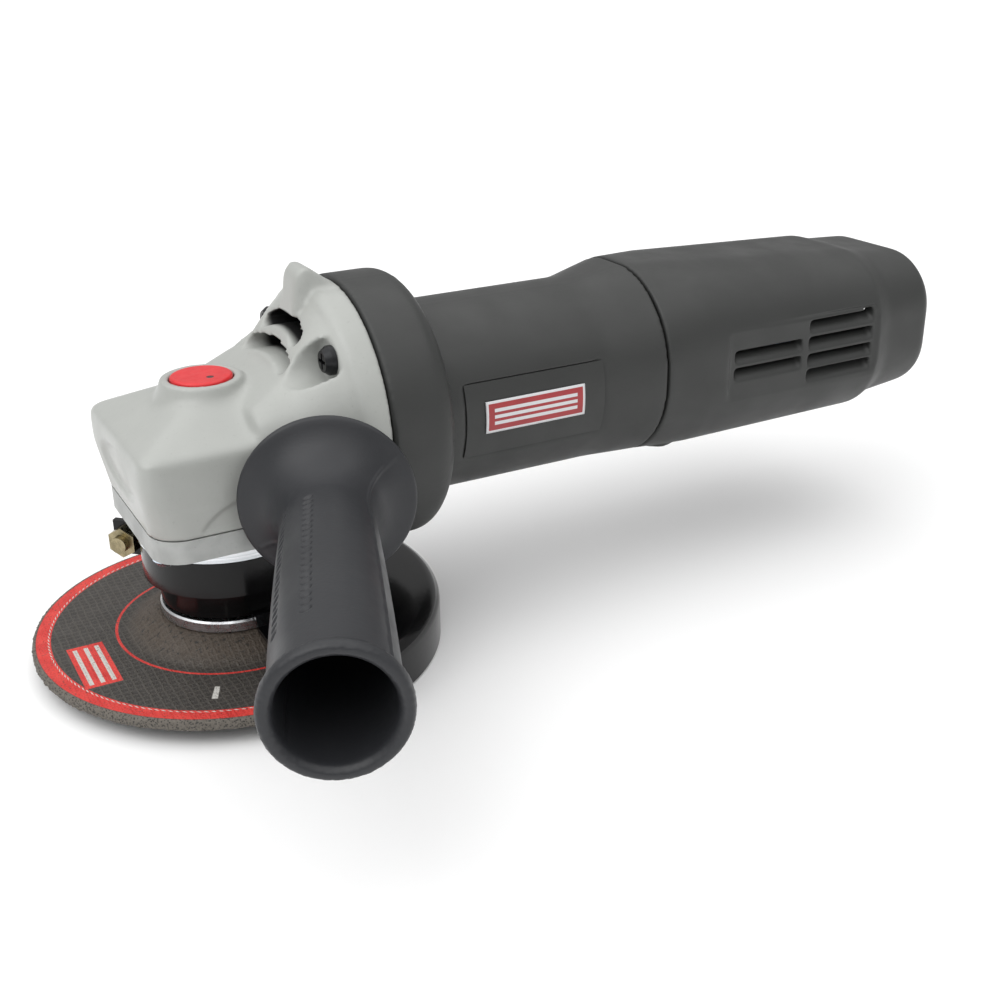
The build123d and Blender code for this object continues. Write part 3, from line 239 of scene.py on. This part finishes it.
def moulded(name, colour, rough, grain=0.45, depth=0.02, **more):
    """Moulded plastic with a spark-eroded grain."""
    made = surface(name, colour, rough, grain=grain, depth=depth, change=0.06, mottle=35.0,
                   scuff=0.12, **more)
    pebbles = made.node("TexVoronoi", {"Vector": made.place, "Scale": 1000.0 / (grain * 1.6)})
    made.heights.append((pebbles.outputs["Distance"], depth * 0.6))
    return made


def abrasive():
    """Resin-bonded grit under printed paper, with a glass net that shows through."""
    made = surface("abrasive", tone(54, 50, 47), 0.62, grain=0.5, depth=0.05, mottle=7.0, change=0.16)
    radius = made.radius()
    x, y, z = made.axes()
    grit = made.node("TexVoronoi", {"Vector": made.place, "Scale": 1700.0})
    warp = made.math("MULTIPLY", made.noise(5.0, 2.0), 0.0011)
    net = []
    for along in (made.math("ADD", x, warp), made.math("ADD", y, warp)):
        wave = made.math("SINE", made.math("MULTIPLY", along, 2 * pi / 0.0021))
        net.append(made.ramp(wave, 0.3, 1.0))
    mesh = made.math("MAXIMUM", net[0], net[1])
    made.colour = made.mix(made.math("MULTIPLY", mesh, 0.28), made.colour, tone(96, 92, 84))
    hub = made.ramp(radius, 25.0, 33.0, 0.45, 0.0)
    made.colour = made.mix(hub, made.colour, tone(92, 78, 64))
    crumbs = made.ramp(made.noise(1.3, 4.0), 0.56, 0.7)
    inner = made.ramp(radius, 27.0, 31.0, 1.0, 0.0)
    made.colour = made.mix(made.math("MULTIPLY", crumbs, inner), made.colour, tone(34, 31, 28))
    # printed band, thin ring and plain marks
    ink = made.ramp(made.noise(0.7, 3.0), 0.28, 0.42)
    red = made.mix(made.ramp(made.noise(6.0), 0.3, 0.7), tone(196, 44, 40), tone(214, 62, 54))
    top = made.ramp(z, 0.0066, 0.0069)
    band = made.between(radius, 51.6, 55.7, 0.12)
    thin = made.between(radius, 33.0, 33.8, 0.1)
    printed = made.math("MAXIMUM", band, thin)
    angle = made.math("ARCTAN2", y, x)
    arc = made.math("MULTIPLY", angle, radius)
    label = made.math("MULTIPLY", made.between(x, -0.0478, -0.0378, 0.0001),
                      made.between(y, -0.0205, 0.0035, 0.0001))
    printed = made.math("MAXIMUM", printed, label)
    made.colour = made.mix(made.math("MULTIPLY", made.math("MULTIPLY", printed, ink), top), made.colour, red)
    pale = tone(196, 194, 188)
    bars = None
    for low in (-0.0464, -0.0434, -0.0404):
        bar = made.between(x, low, low + 0.0012, 0.00008)
        bars = bar if bars is None else made.math("MAXIMUM", bars, bar)
    bars = made.math("MULTIPLY", bars, made.between(y, -0.019, 0.002, 0.0001))
    ticks = made.math("SINE", made.math("MULTIPLY", arc, 2 * pi / 1.9))
    ticks = made.math("MULTIPLY", made.ramp(ticks, 0.1, 0.3), made.between(radius, 52.0, 52.45, 0.08))
    gauge = made.math("MULTIPLY", made.between(angle, -2.02, -1.985, 0.002),
                      made.between(radius, 40.0, 46.0, 0.1))
    pale_marks = made.math("MAXIMUM", made.math("MAXIMUM", bars, ticks), gauge)
    share = made.math("MULTIPLY", made.math("MULTIPLY", pale_marks, ink), top)
    made.colour = made.mix(share, made.colour, pale)
    # bare grit at the rim and underneath
    bare = made.ramp(radius, 55.7, 55.95)
    chips = made.mix(made.ramp(grit.outputs["Distance"], 0.1, 0.6), tone(26, 25, 24), tone(104, 98, 90))
    made.colour = made.mix(bare, made.colour, chips)
    sparkle = made.ramp(made.noise(0.35, 1.0), 0.68, 0.74)
    made.roughness = made.math("SUBTRACT", made.roughness, made.math("MULTIPLY", sparkle, 0.3))
    made.heights.append((grit.outputs["Distance"], 0.12))
    made.heights.append((mesh, 0.08))
    return made


def red_button():
    """Glossy red moulding with one small dark gate mark."""
    made = surface("button_plastic", tone(208, 30, 36), 0.38, grain=0.6, depth=0.004, mottle=6.0,
                   change=0.05, coat=0.05, scuff=0.1)
    x, y, z = made.axes()
    along = made.math("MULTIPLY", made.math("SUBTRACT", x, -0.0008), 1000.0)
    side = made.math("MULTIPLY", made.math("SUBTRACT", y, -0.0034), 1000.0)
    square = made.math("ADD", made.math("MULTIPLY", along, along), made.math("MULTIPLY", side, side))
    dot = made.ramp(made.math("SQRT", square), 0.85, 1.15, 1.0, 0.0)
    made.colour = made.mix(dot, made.colour, tone(58, 22, 22))
    made.heights.append((dot, -0.2))
    return made


def badge_print():
    """Plain stripes printed on a red plate with a silver border."""
    made = surface("badge_print", tone(150, 28, 34), 0.35, grain=0.5, depth=0.004, mottle=8.0, coat=0.3)
    x, _, z = made.axes()
    along = made.math("ABSOLUTE", made.math("SUBTRACT", made.math("MULTIPLY", x, 1000.0), BADGE_X))
    up = made.math("SUBTRACT", made.math("MULTIPLY", z, 1000.0), MOTOR_Z)
    inside = made.math("MULTIPLY", made.ramp(along, 15.5, 15.7, 1.0, 0.0),
                       made.ramp(made.math("ABSOLUTE", up), 3.9, 4.05, 1.0, 0.0))
    stripe = None
    for middle in (-1.9, 0.0, 1.9):
        one = made.between(up, middle - 0.5, middle + 0.5, 0.05)
        stripe = one if stripe is None else made.math("MAXIMUM", stripe, one)
    stripe = made.math("MULTIPLY", stripe, made.ramp(along, 13.6, 13.8, 1.0, 0.0))
    border = made.math("SUBTRACT", 1.0, inside)
    pale = made.math("MAXIMUM", border, stripe)
    made.colour = made.mix(pale, made.colour, tone(206, 206, 208))
    return made


finishes = {}
for made in (
    cast_paint(),
    bearing_cover_metal(),
    abrasive(),
    red_button(),
    badge_print(),
    turned_steel("bright_steel", tone(196, 198, 200), 0.28),
    turned_steel("bearing_steel", tone(205, 207, 210), 0.2),
    surface("zinc_steel", tone(196, 208, 220), 0.26, metal=1.0, grain=0.6, depth=0.006, mottle=3.0, change=0.15),
    surface("yellow_zinc", tone(150, 140, 112), 0.3, metal=1.0, grain=0.6, depth=0.008, mottle=2.5, change=0.2),
    surface("black_steel", tone(30, 31, 33), 0.38, metal=0.6, grain=0.5, depth=0.01, mottle=5.0, gloss=0.6),
    surface("guard_paint", tone(8, 8, 9), 0.16, grain=1.6, depth=0.012, mottle=22.0, coat=0.0, gloss=0.3,
            scuff=0.06, swing=0.03),
    surface("felt", tone(88, 84, 76), 0.95, grain=0.3, depth=0.12, mottle=3.0, change=0.2),
    surface("bronze", tone(176, 132, 78), 0.35, metal=1.0, grain=0.5, depth=0.01, mottle=4.0),
    surface("core_steel", tone(120, 122, 126), 0.42, metal=0.9, grain=0.5, depth=0.03, mottle=6.0, change=0.2),
    surface("copper", tone(182, 98, 58), 0.35, metal=0.9, grain=0.6, depth=0.06, mottle=3.0, change=0.2),
    surface("commutator_copper", tone(200, 122, 82), 0.25, metal=1.0, grain=0.4, depth=0.01, mottle=3.0, change=0.15),
    surface("brass", tone(200, 170, 96), 0.3, metal=1.0, grain=0.5, depth=0.008, mottle=4.0),
    surface("soft_rubber", tone(30, 30, 31), 0.7, grain=0.5, depth=0.02, mottle=6.0),
    surface("carbon", tone(38, 38, 40), 0.5, metal=0.3, grain=0.3, depth=0.02, mottle=3.0),
    surface("gear_steel", tone(132, 132, 136), 0.32, metal=1.0, grain=0.6, depth=0.012, mottle=4.0, change=0.15),
    moulded("body_plastic", tone(47, 48, 47), 0.48, gloss=0.45),
    moulded("inner_plastic", tone(46, 47, 48), 0.6),
    moulded("fan_plastic", tone(34, 34, 36), 0.55),
    moulded("switch_plastic", tone(24, 24, 25), 0.45, grain=0.3),
    moulded("capacitor_plastic", tone(60, 96, 140), 0.4, grain=0.6, depth=0.01),
    moulded("handle_plastic", tone(41, 42, 45), 0.44, grain=0.6, depth=0.02, gloss=0.4),
):
    finishes[made.name] = made.done()
finishes["machined_aluminium"] = finishes["bare_casting"]

for name, node in nodes.items():
    for slot in node.material_slots:
        wanted = slot.material.name.split(".")[0]
        slot.link = "OBJECT"
        slot.material = finishes["yellow_zinc" if name in ("clamp_screw", "clamp_nut") else wanted]


# ---------------------------------------------------------------- helpers for new pieces


def piece(name, shape, body, slot, *replaced, finish=None):
    """Finished object from a mesh in millimetres: smooth, in metres, riding on its body."""
    bmesh.ops.scale(shape, vec=(MM, MM, MM), verts=shape.verts)
    for face in shape.faces:
        face.smooth = True
    mesh = bpy.data.meshes.new(name)
    shape.to_mesh(mesh)
    shape.free()
    mesh.materials.append(finishes[finish or slot])
    made = bpy.data.objects.new(name, mesh)
    bpy.context.scene.collection.objects.link(made)
    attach(made, body)
    if replaced:
        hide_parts(*replaced)
    return made


def even_skin(node, voxel):
    """A CAD node's solid with one even closed skin, in millimetres."""
    shape = bmesh.new()
    shape.from_mesh(nodes[node].data)
    bmesh.ops.remove_doubles(shape, verts=shape.verts, dist=1e-6)
    bmesh.ops.scale(shape, vec=(1 / MM, 1 / MM, 1 / MM), verts=shape.verts)
    mesh = bpy.data.meshes.new("skin")
    shape.to_mesh(mesh)
    shape.free()
    holder = bpy.data.objects.new("skin", mesh)
    bpy.context.scene.collection.objects.link(holder)
    modifier = holder.modifiers.new("skin", "REMESH")
    modifier.mode = "VOXEL"
    modifier.voxel_size = voxel
    found = holder.evaluated_get(bpy.context.evaluated_depsgraph_get())
    skin = bmesh.new()
    skin.from_mesh(found.to_mesh())
    found.to_mesh_clear()
    bpy.data.objects.remove(holder)
    bpy.data.meshes.remove(mesh)
    return skin


def thinned(made, share):
    """Fewer triangles where the skin is flat."""
    modifier = made.modifiers.new("thin", "DECIMATE")
    modifier.ratio = share
    return made


def keep_edges(made, degrees):
    """Shades across an edge only where its faces meet at less than this angle."""
    mesh = made.data
    shape = bmesh.new()
    shape.from_mesh(mesh)
    for edge in shape.edges:
        if len(edge.link_faces) == 2 and edge.calc_face_angle(0.0) > radians(degrees):
            edge.smooth = False
    shape.to_mesh(mesh)
    shape.free()


def soften(shape, weight, rounds, factor=0.5):
    """Rounds edges off: a vertex of weight 1 is smoothed every round, and others less often."""
    weights = [(weight(vert.co), vert) for vert in shape.verts]
    weights = [(value, vert) for value, vert in weights if value > 0]
    for turn in range(rounds):
        limit = turn / rounds
        chosen = [vert for value, vert in weights if value > limit]
        bmesh.ops.smooth_vert(shape, verts=chosen, factor=factor, use_axis_x=True, use_axis_y=True, use_axis_z=True)


def fade(distance, near, far):
    """One up to the near distance, then smoothly down to nothing at the far one."""
    share = min(1.0, max(0.0, (far - distance) / (far - near)))
    return share * share * (3 - 2 * share)


def to_line(point, start, end):
    """Distance from a point to the line between two others."""
    along = end - start
    share = min(1.0, max(0.0, (point - start).dot(along) / along.length_squared))
    return (point - start - along * share).length


def from_motor(point):
    """Distance from the motor's axis."""
    return hypot(point.y, point.z - MOTOR_Z)


# ---------------------------------------------------------------- gear housing

EAVES = [Vector((-28.3, s * 28.5, 69.0)) for s in (-1, 1)]
ROOF = [Vector((-12.0, s * 13.0, 76.5)) for s in (-1, 1)]
hard_lines = [
    (EAVES[0], EAVES[1]),
    (EAVES[0], Vector((10.0, -28.5, 69.5))),
    (EAVES[1], Vector((10.0, 28.5, 69.5))),
    (EAVES[0], ROOF[0]),
    (EAVES[1], ROOF[1]),
    (ROOF[0], ROOF[1]),
    (ROOF[0], Vector((14.0, -13.0, 76.5))),
    (ROOF[1], Vector((14.0, 13.0, 76.5))),
    (EAVES[0], Vector((-26.0, -27.6, 50.0))),
    (EAVES[1], Vector((-26.0, 27.6, 50.0))),
]


def head_outside(point):
    """Whether a point of the gear housing's skin is on its outside."""
    if point.z < 47.2:
        return False
    if hypot(point.x, point.y) < 25.6 and point.z < 63.5:
        return False
    bore = 11.4 if point.x < 29.5 else 13.8
    if point.x > 7.5 and from_motor(point) < bore:
        return False
    if point.x > 30.4 and from_motor(point) < 34.8:
        return False
    if hypot(point.x - BUTTON_X, point.y) < 9.4 and point.z > 71.0:
        return False
    return point.x < 36.4


def near_vents(point):
    """How much a point belongs to the vents or the screw pockets, where edges stay crisp."""
    if point.x > 31:
        return 0.0
    slot = 0.0
    if abs(point.y) < 20 and point.z > 78:
        slot = fade(abs(point.y), 16.0, 18.0) * fade(abs(point.z - 88.4), 8.5, 10.0)
    pocket = hypot(abs(point.y) - 22.6, abs(point.z - MOTOR_Z) - 22.6)
    return max(slot, fade(pocket, 7.0, 9.0))


def head_weight(point):
    if not head_outside(point):
        return 0.0
    near = min(to_line(point, *line) for line in hard_lines)
    boss = hypot(point.x - BUTTON_X, point.y)
    foot = abs(boss - 13.6) + abs(point.z - 76.0) * 0.6
    flare = 0.75 if 1.0 < point.x < 27.0 else 0.0
    value = max(fade(near, 3.0, 8.5), fade(foot, 1.5, 5.0) * 0.6, flare, 0.12)
    return value * (1.0 - near_vents(point))


def clear_button_bore(shape):
    """Squares up the bottom corner of the lock button's bore, which the skin has rounded."""
    floor_z, wall_r = 72.12, 8.85
    for vert in shape.verts:
        point = vert.co
        away = Vector((point.x - BUTTON_X, point.y, 0.0))
        if not floor_z - 0.25 < point.z < 80.5 or away.length > wall_r:
            continue
        if point.z < floor_z + 1.1 and away.length < wall_r - 0.5:
            point.z = floor_z
        elif away.length > wall_r - 1.6:
            vert.co = point + away.normalized() * (wall_r - away.length)


def build_head():
    shape = even_skin("gear_housing", 0.72)
    soften(shape, head_weight, 26)
    soften(shape, lambda point: 1.0 - 0.6 * near_vents(point), 2)
    clear_button_bore(shape)
    for vert in shape.verts:
        point = vert.co
        if not head_outside(point) or point.z > 76 or point.x > 8:
            continue
        # low arch on each side face, and an oval hollow on the front
        if abs(point.y) > 26:
            arch = hypot((point.x - 6.0) / 1.25, (point.z - 44.0) * 1.35)
            sunk = fade(arch, 16.0, 17.2) * 0.5
            point.y -= sunk if point.y > 0 else -sunk
        if point.x < -24:
            oval = hypot(point.y / 15.0, (point.z - 58.5) / 6.5)
            point.x += fade(oval, 0.86, 1.12) * 1.1
    return piece("head_casting", shape, "grinder_body", "cast_paint", "gear_housing")


build_head()


# ---------------------------------------------------------------- motor housing and rear cover


def motor_weight(point):
    reach = from_motor(point)
    if reach < 26.9 or point.x < 36.5:
        return 0.0
    shoulder = fade(abs(point.x - 57.2) + abs(reach - 29.0), 1.0, 3.5) * 0.3
    crease = fade(abs(point.x - 113.5), 2.0, 9.0)
    return max(shoulder, crease, 0.08)


def build_motor_housing():
    shape = even_skin("motor_housing", 0.82)
    soften(shape, motor_weight, 24)
    for vert in shape.verts:
        point = vert.co
        reach = from_motor(point)
        # mould line on top, ending short of the rear seam
        if reach > 27.5 and point.z > MOTOR_Z and point.x < 128:
            ridge = fade(abs(point.y + 4.0), 0.1, 0.6) * 0.12
            point.z += ridge
    made = piece("motor_shell", shape, "grinder_body", "body_plastic", "motor_housing")
    return made


build_motor_housing()

VENT_X = (153.2, 212.4)
VENT_Z = (54.3, 77.5)


def cover_weight(point):
    side = abs(point.y)
    if VENT_X[0] - 4 < point.x < VENT_X[1] + 4 and VENT_Z[0] - 3 < point.z < VENT_Z[1] + 3 and side > 27:
        return 0.06
    if point.x > 215:
        return 0.75
    return 0.25 if point.x > 134 else 0.05


def build_rear_cover():
    shape = even_skin("rear_cover", 0.62)
    soften(shape, cover_weight, 22)
    for vert in shape.verts:
        point = vert.co
        side = abs(point.y)
        sign = 1 if point.y > 0 else -1
        if side < 26 or not VENT_X[0] < point.x < VENT_X[1]:
            continue
        if VENT_Z[0] < point.z < VENT_Z[1] and side < 30.95:
            # the slats reach inward and upward
            window = min(
                fade(VENT_X[0] + 1.4 - point.x, 0.0, 1.0),
                fade(point.x - VENT_X[1] + 1.4, 0.0, 1.0),
                fade(VENT_Z[0] + 1.6 - point.z, 0.0, 1.2),
            )
            deep = (30.95 - side) * 1.9 * window
            point.y -= sign * deep
            point.z += (30.95 - side + deep) * 0.85 * window
    made = piece("rear_shell", shape, "grinder_body", "body_plastic", "rear_cover")
    return thinned(made, 0.5)


build_rear_cover()


# ---------------------------------------------------------------- badge


def build_badge():
    """Thin plate bent round the barrel."""
    shape = bmesh.new()
    bmesh.ops.create_grid(shape, x_segments=46, y_segments=20, size=1.0)
    bmesh.ops.scale(shape, vec=(*BADGE_HALF, 1.0), verts=shape.verts)
    for vert in shape.verts:
        x, up = vert.co.x, vert.co.y
        turn = up / BARREL_R
        reach = 28.32
        vert.co = Vector((BADGE_X + x, -reach * cos(turn), MOTOR_Z + reach * sin(turn)))
    grown = bmesh.ops.extrude_face_region(shape, geom=shape.faces[:])
    skin = [item for item in grown["geom"] if isinstance(item, bmesh.types.BMVert)]
    for vert in skin:
        out = Vector((0, vert.co.y, vert.co.z - MOTOR_Z)).normalized()
        vert.co += out * 0.45
    bmesh.ops.recalc_face_normals(shape, faces=shape.faces)
    return piece("badge_plate", shape, "grinder_body", "body_plastic", finish="badge_print")


build_badge()


# ---------------------------------------------------------------- side handle


def smooth_run(start, start_aim, end, end_aim, steps):
    """Points on a smooth curve between two profile points, each with its aim point."""
    points = interpolate_bezier(*[Vector((*p, 0.0)) for p in (start, start_aim, end_aim, end)], steps)
    return [(p.x, p.y) for p in points]


def grip_outline():
    """Profile of the handle: distance along it and radius, from the bore round to the hollow."""
    outline = [(-6.5, 4.1), (-6.5, 9.4), (-6.1, 9.9), (-3.6, 10.6), (-1.4, 11.2)]
    outline += smooth_run((-1.4, 11.4), (-1.4, 14.0), (-1.3, 22.0), (-1.4, 18.0), 14)
    outline += smooth_run((-1.2, 22.4), (-0.9, 23.5), (1.2, 22.2), (0.9, 23.6), 9)
    outline += smooth_run((1.4, 21.8), (3.0, 17.4), (17.5, 11.9), (6.2, 12.3), 40)
    outline += smooth_run((18.0, 11.9), (40.0, 12.9), (96.0, 13.6), (72.0, 13.6), 150)
    outline += smooth_run((96.5, 13.62), (98.2, 13.7), (99.9, 15.1), (98.9, 14.9), 8)
    outline += smooth_run((100.2, 15.44), (101.6, 15.5), (102.7, 14.4), (102.6, 15.1), 7)
    outline += [(102.78, 13.9), (102.7, 13.4), (102.4, 13.0), (102.2, 12.8), (101.6, 12.4), (101.0, 12.15)]
    outline += [(100.0 - 5.2 * i, 12.05 - 0.145 * i) for i in range(13)]
    outline += [(34.0, 10.2), (30.6, 8.0), (30.0, 6.0), (30.0, 2.6), (30.0, 0.0)]
    outline += [(19.0, 0.0), (19.0, 6.95), (13.4, 6.95), (13.4, 4.1)]
    return outline


# rows of oval dents: angle from straight up toward the wheel's side, first and last place along
dent_rows = [
    (21.0, 23.8, 83.0),
    (60.0, 20.5, 82.0),
    (-84.0, 22.0, 80.0),
    (-120.0, 22.0, 82.0),
    (-165.0, 22.0, 82.0),
    (155.0, 22.0, 82.0),
]
DENT_PITCH = 3.1
PARTING = (-57.0, 123.0)


def angle_gap(first, second):
    return abs((first - second + 180.0) % 360.0 - 180.0)


def build_handle():
    shape = bmesh.new()
    points = grip_outline()
    verts = [shape.verts.new((along, radius, 0.0)) for along, radius in points]
    edges = [shape.edges.new(pair) for pair in zip(verts, verts[1:] + verts[:1])]
    bmesh.ops.spin(shape, geom=verts + edges, cent=(0, 0, 0), axis=(1, 0, 0), angle=2 * pi, steps=236,
                   use_merge=True)
    bmesh.ops.remove_doubles(shape, verts=shape.verts, dist=0.002)
    bmesh.ops.recalc_face_normals(shape, faces=shape.faces)
    for vert in shape.verts:
        along, up, left = vert.co
        radius = hypot(up, left)
        if radius < 11.4 or along < 1.5:
            continue
        angle = atan2(left, up) * 180 / pi
        change = 0.0
        if 18 < along < 88:
            for row, first, last in dent_rows:
                off = angle_gap(angle, row) * pi / 180 * radius
                if off > 3 or not first - 2 < along < last + 2:
                    continue
                count = round((min(max(along, first), last) - first) / DENT_PITCH)
                lag = along - first - count * DENT_PITCH
                dent = hypot(off / 1.5, (lag + off * 0.12) / 1.05)
                change -= fade(dent, 0.45, 1.0) * 1.0
        wobble = 0.35 * sin(along * 0.9) if along > 24 else 0.0
        seam = min(angle_gap(angle, side) for side in PARTING) * pi / 180 * radius
        if along < 97:
            change += fade(abs(seam + wobble * 0.3), 0.2, 0.6) * 0.34
        if along > 98 and radius > 12.6:
            change += 0.12 * noise.noise(Vector((along, up, left)) * 1.4)
            vert.co.x += 0.1 * noise.noise(Vector((up, left, along)) * 1.1) - 0.1
        vert.co.y += change * up / radius
        vert.co.z += change * left / radius
    out = Vector((-sin(HANDLE_YAW), -cos(HANDLE_YAW), 0.0))
    rise = Vector((0.0, 0.0, 1.0))
    turn = Matrix((out, rise, out.cross(rise))).transposed().to_4x4()
    bmesh.ops.transform(shape, matrix=Matrix.Translation(HANDLE_START) @ turn, verts=shape.verts)
    return piece("grip", shape, "side_handle", "handle_plastic", "side_handle")


build_handle()


# ---------------------------------------------------------------- wheel


def build_wheel():
    """Depressed-centre wheel with a ragged rim."""
    outline = [(11.1, 8.7), (11.1, 11.9)]
    outline += [(12.0 + 0.8 * i, 11.9) for i in range(11)]
    outline += smooth_run((20.6, 11.9), (22.6, 11.8), (30.6, 7.0), (28.6, 7.2), 16)
    outline += [(31.0 + 1.0 * i, 7.0) for i in range(24)]
    outline += [(54.6 + 0.35 * i, 7.0) for i in range(6)]
    outline += [(56.65, 6.95), (56.95, 6.8), (57.1, 6.5)]
    outline += [(57.15, 6.1 - 0.4 * i) for i in range(5)]
    outline += [(57.1, 4.2), (56.95, 3.95), (56.6, 3.82)]
    outline += [(56.0 - 0.5 * i, 3.8) for i in range(4)]
    outline += [(53.0 - 2.0 * i, 3.8) for i in range(12)]
    outline += smooth_run((28.9, 3.8), (26.6, 4.0), (19.8, 8.7), (21.6, 8.5), 14)
    outline += [(16.0, 8.7), (13.0, 8.7)]
    shape = bmesh.new()
    verts = [shape.verts.new((radius, 0.0, height)) for radius, height in outline]
    edges = [shape.edges.new(pair) for pair in zip(verts, verts[1:] + verts[:1])]
    bmesh.ops.spin(shape, geom=verts + edges, cent=(0, 0, 0), axis=(0, 0, 1), angle=2 * pi, steps=560,
                   use_merge=True)
    bmesh.ops.remove_doubles(shape, verts=shape.verts, dist=0.002)
    bmesh.ops.recalc_face_normals(shape, faces=shape.faces)
    for vert in shape.verts:
        point = vert.co.copy()
        radius = hypot(point.x, point.y)
        out = Vector((point.x / radius, point.y / radius, 0.0))
        edge = fade(57.2 - radius, 0.3, 1.0)
        grains = noise.voronoi(point * 0.95)[0]
        rough = 0.45 * min(1.0, grains[0] * 1.7) + 0.22 * abs(noise.noise(point * 2.3))
        vert.co -= out * edge * rough
        middle = 5.4
        vert.co.z += (middle - point.z) * edge * 0.22 * grains[0]
        if point.z > 6.5 and radius < 56.6:
            vert.co.z -= 0.02 * abs(noise.noise(point * 1.6))
    return piece("abrasive_wheel", shape, "spindle", "abrasive", "cutting_wheel")


build_wheel()


# ---------------------------------------------------------------- wheel guard

GUARD_HALF = radians(91.0)   # the hood reaches this far round from the rear, to each side


def rounding(centre, radius, first, last, steps):
    """Points on an arc; angles in degrees."""
    turns = [radians(first + (last - first) * i / steps) for i in range(steps + 1)]
    return [(centre[0] + radius * cos(turn), centre[1] + radius * sin(turn)) for turn in turns]


def build_guard():
    """Hood over the rear half of the wheel, and the neck and collar that carry it."""
    shape = bmesh.new()
    hood = [(18.3, 16.3), (18.3, 17.5), (21.6, 17.5), (22.3, 17.2), (24.1, 14.8), (24.8, 14.5)]
    hood += [(28.0 + 3.5 * i, 14.5) for i in range(8)]
    hood += rounding((56.5, 10.5), 4.0, 90.0, 0.0, 9)
    hood += [(60.5, 7.0), (60.5, 3.0), (60.5, 0.0), (60.2, -0.38), (58.6, -0.38), (58.3, 0.0), (58.4, 0.7)]
    hood += [(59.1, 1.0), (59.1, 5.0)]
    hood += rounding((56.5, 10.5), 2.6, 0.0, 90.0, 6)
    hood += [(40.0, 13.1), (23.4, 13.1), (21.1, 16.2)]
    turn = Matrix.Rotation(-GUARD_HALF, 3, "Z")
    verts = [shape.verts.new(turn @ Vector((radius, 0.0, height))) for radius, height in hood]
    face = shape.faces.new(verts)
    bmesh.ops.spin(shape, geom=[face, *face.edges, *verts], cent=(0, 0, 0), axis=(0, 0, 1),
                   angle=2 * GUARD_HALF, steps=150)
    neck = [(18.2, 16.2), (19.3, 16.2), (19.7, 16.6), (19.7, 24.3), (21.7, 24.3), (22.2, 24.8)]
    neck += [(22.2, 30.0), (22.2, 34.5), (21.9, 34.9), (20.68, 34.9), (20.68, 25.7), (18.2, 25.7)]
    verts = [shape.verts.new((radius, 0.0, height)) for radius, height in neck]
    edges = [shape.edges.new(pair) for pair in zip(verts, verts[1:] + verts[:1])]
    bmesh.ops.spin(shape, geom=verts + edges, cent=(0, 0, 0), axis=(0, 0, 1), angle=2 * pi, steps=160,
                   use_merge=True)
    bmesh.ops.remove_doubles(shape, verts=shape.verts, dist=0.002)
    bmesh.ops.recalc_face_normals(shape, faces=shape.faces)
    made = piece("guard_shell", shape, "guard", "guard_paint", "wheel_guard")
    keep_edges(made, 32.0)
    return made


build_guard()


# ---------------------------------------------------------------- floor, light and camera


def floor():
    low = cad_box[0].z
    shape = bmesh.new()
    bmesh.ops.create_grid(shape, x_segments=2, y_segments=2, size=6.0)
    mesh = bpy.data.meshes.new("floor")
    shape.to_mesh(mesh)
    shape.free()
    made = bpy.data.objects.new("floor", mesh)
    bpy.context.scene.collection.objects.link(made)
    made.location.z = low - 0.0004
    paint = surface("floor_paint", tone(246, 246, 246), 0.8, grain=0.02, depth=0.01, mottle=400.0, change=0.01, scuff=0.0)
    mesh.materials.append(paint.done())


def lamp(name, place, aim, size, power):
    data = bpy.data.lights.new(name, "AREA")
    data.shape = "RECTANGLE"
    data.size, data.size_y = size
    data.energy = power
    made = bpy.data.objects.new(name, data)
    bpy.context.scene.collection.objects.link(made)
    made.location = place
    made.rotation_euler = (Vector(aim) - Vector(place)).to_track_quat("-Z", "Y").to_euler()
    return made


floor()
world = bpy.data.worlds.new("studio")
bpy.context.scene.world = world
world.use_nodes = True
world.node_tree.nodes["Background"].inputs["Color"].default_value = (1.0, 1.0, 1.0, 1.0)
world.node_tree.nodes["Background"].inputs["Strength"].default_value = 0.5
target = (0.08, 0.0, 0.05)
lamp("key", (-0.55, -0.25, 0.95), target, (0.9, 0.7), 2.5)
ceiling = bpy.data.lights.new("ceiling", "SUN")
ceiling.energy = 2.35
ceiling.angle = radians(110.0)
hung = bpy.data.objects.new("ceiling", ceiling)
bpy.context.scene.collection.objects.link(hung)
hung.rotation_euler = (radians(4.0), radians(-8.0), 0.0)

bpy.context.scene.view_settings.view_transform = "Standard"

# The camera stands in front of the handle, above the wheel's side.
azimuth, elevation, roll = -0.48766, 0.41532, -0.01596
distance = 420.9
look_at = Vector((83.59, 0.0, 23.91))
back = Vector((sin(azimuth) * cos(elevation), -cos(azimuth) * cos(elevation), sin(elevation)))
right = Vector((0.0, 0.0, 1.0)).cross(back).normalized()
above = back.cross(right)
tilted_right = right * cos(roll) + above * sin(roll)
tilted_up = -right * sin(roll) + above * cos(roll)
camera = bpy.data.objects.new("camera", bpy.data.cameras.new("camera"))
bpy.context.scene.collection.objects.link(camera)
camera.matrix_world = Matrix.Translation((look_at + back * distance) * MM) @ Matrix(
    (tilted_right, tilted_up, back)
).transposed().to_4x4()
camera.data.sensor_width = 36.0
camera.data.lens = 36.0 * 1.33506
camera.data.shift_x = 0.0163
camera.data.shift_y = 0.0042
camera.data.clip_start = 0.01
camera.data.clip_end = 30.0
bpy.context.scene.camera = camera
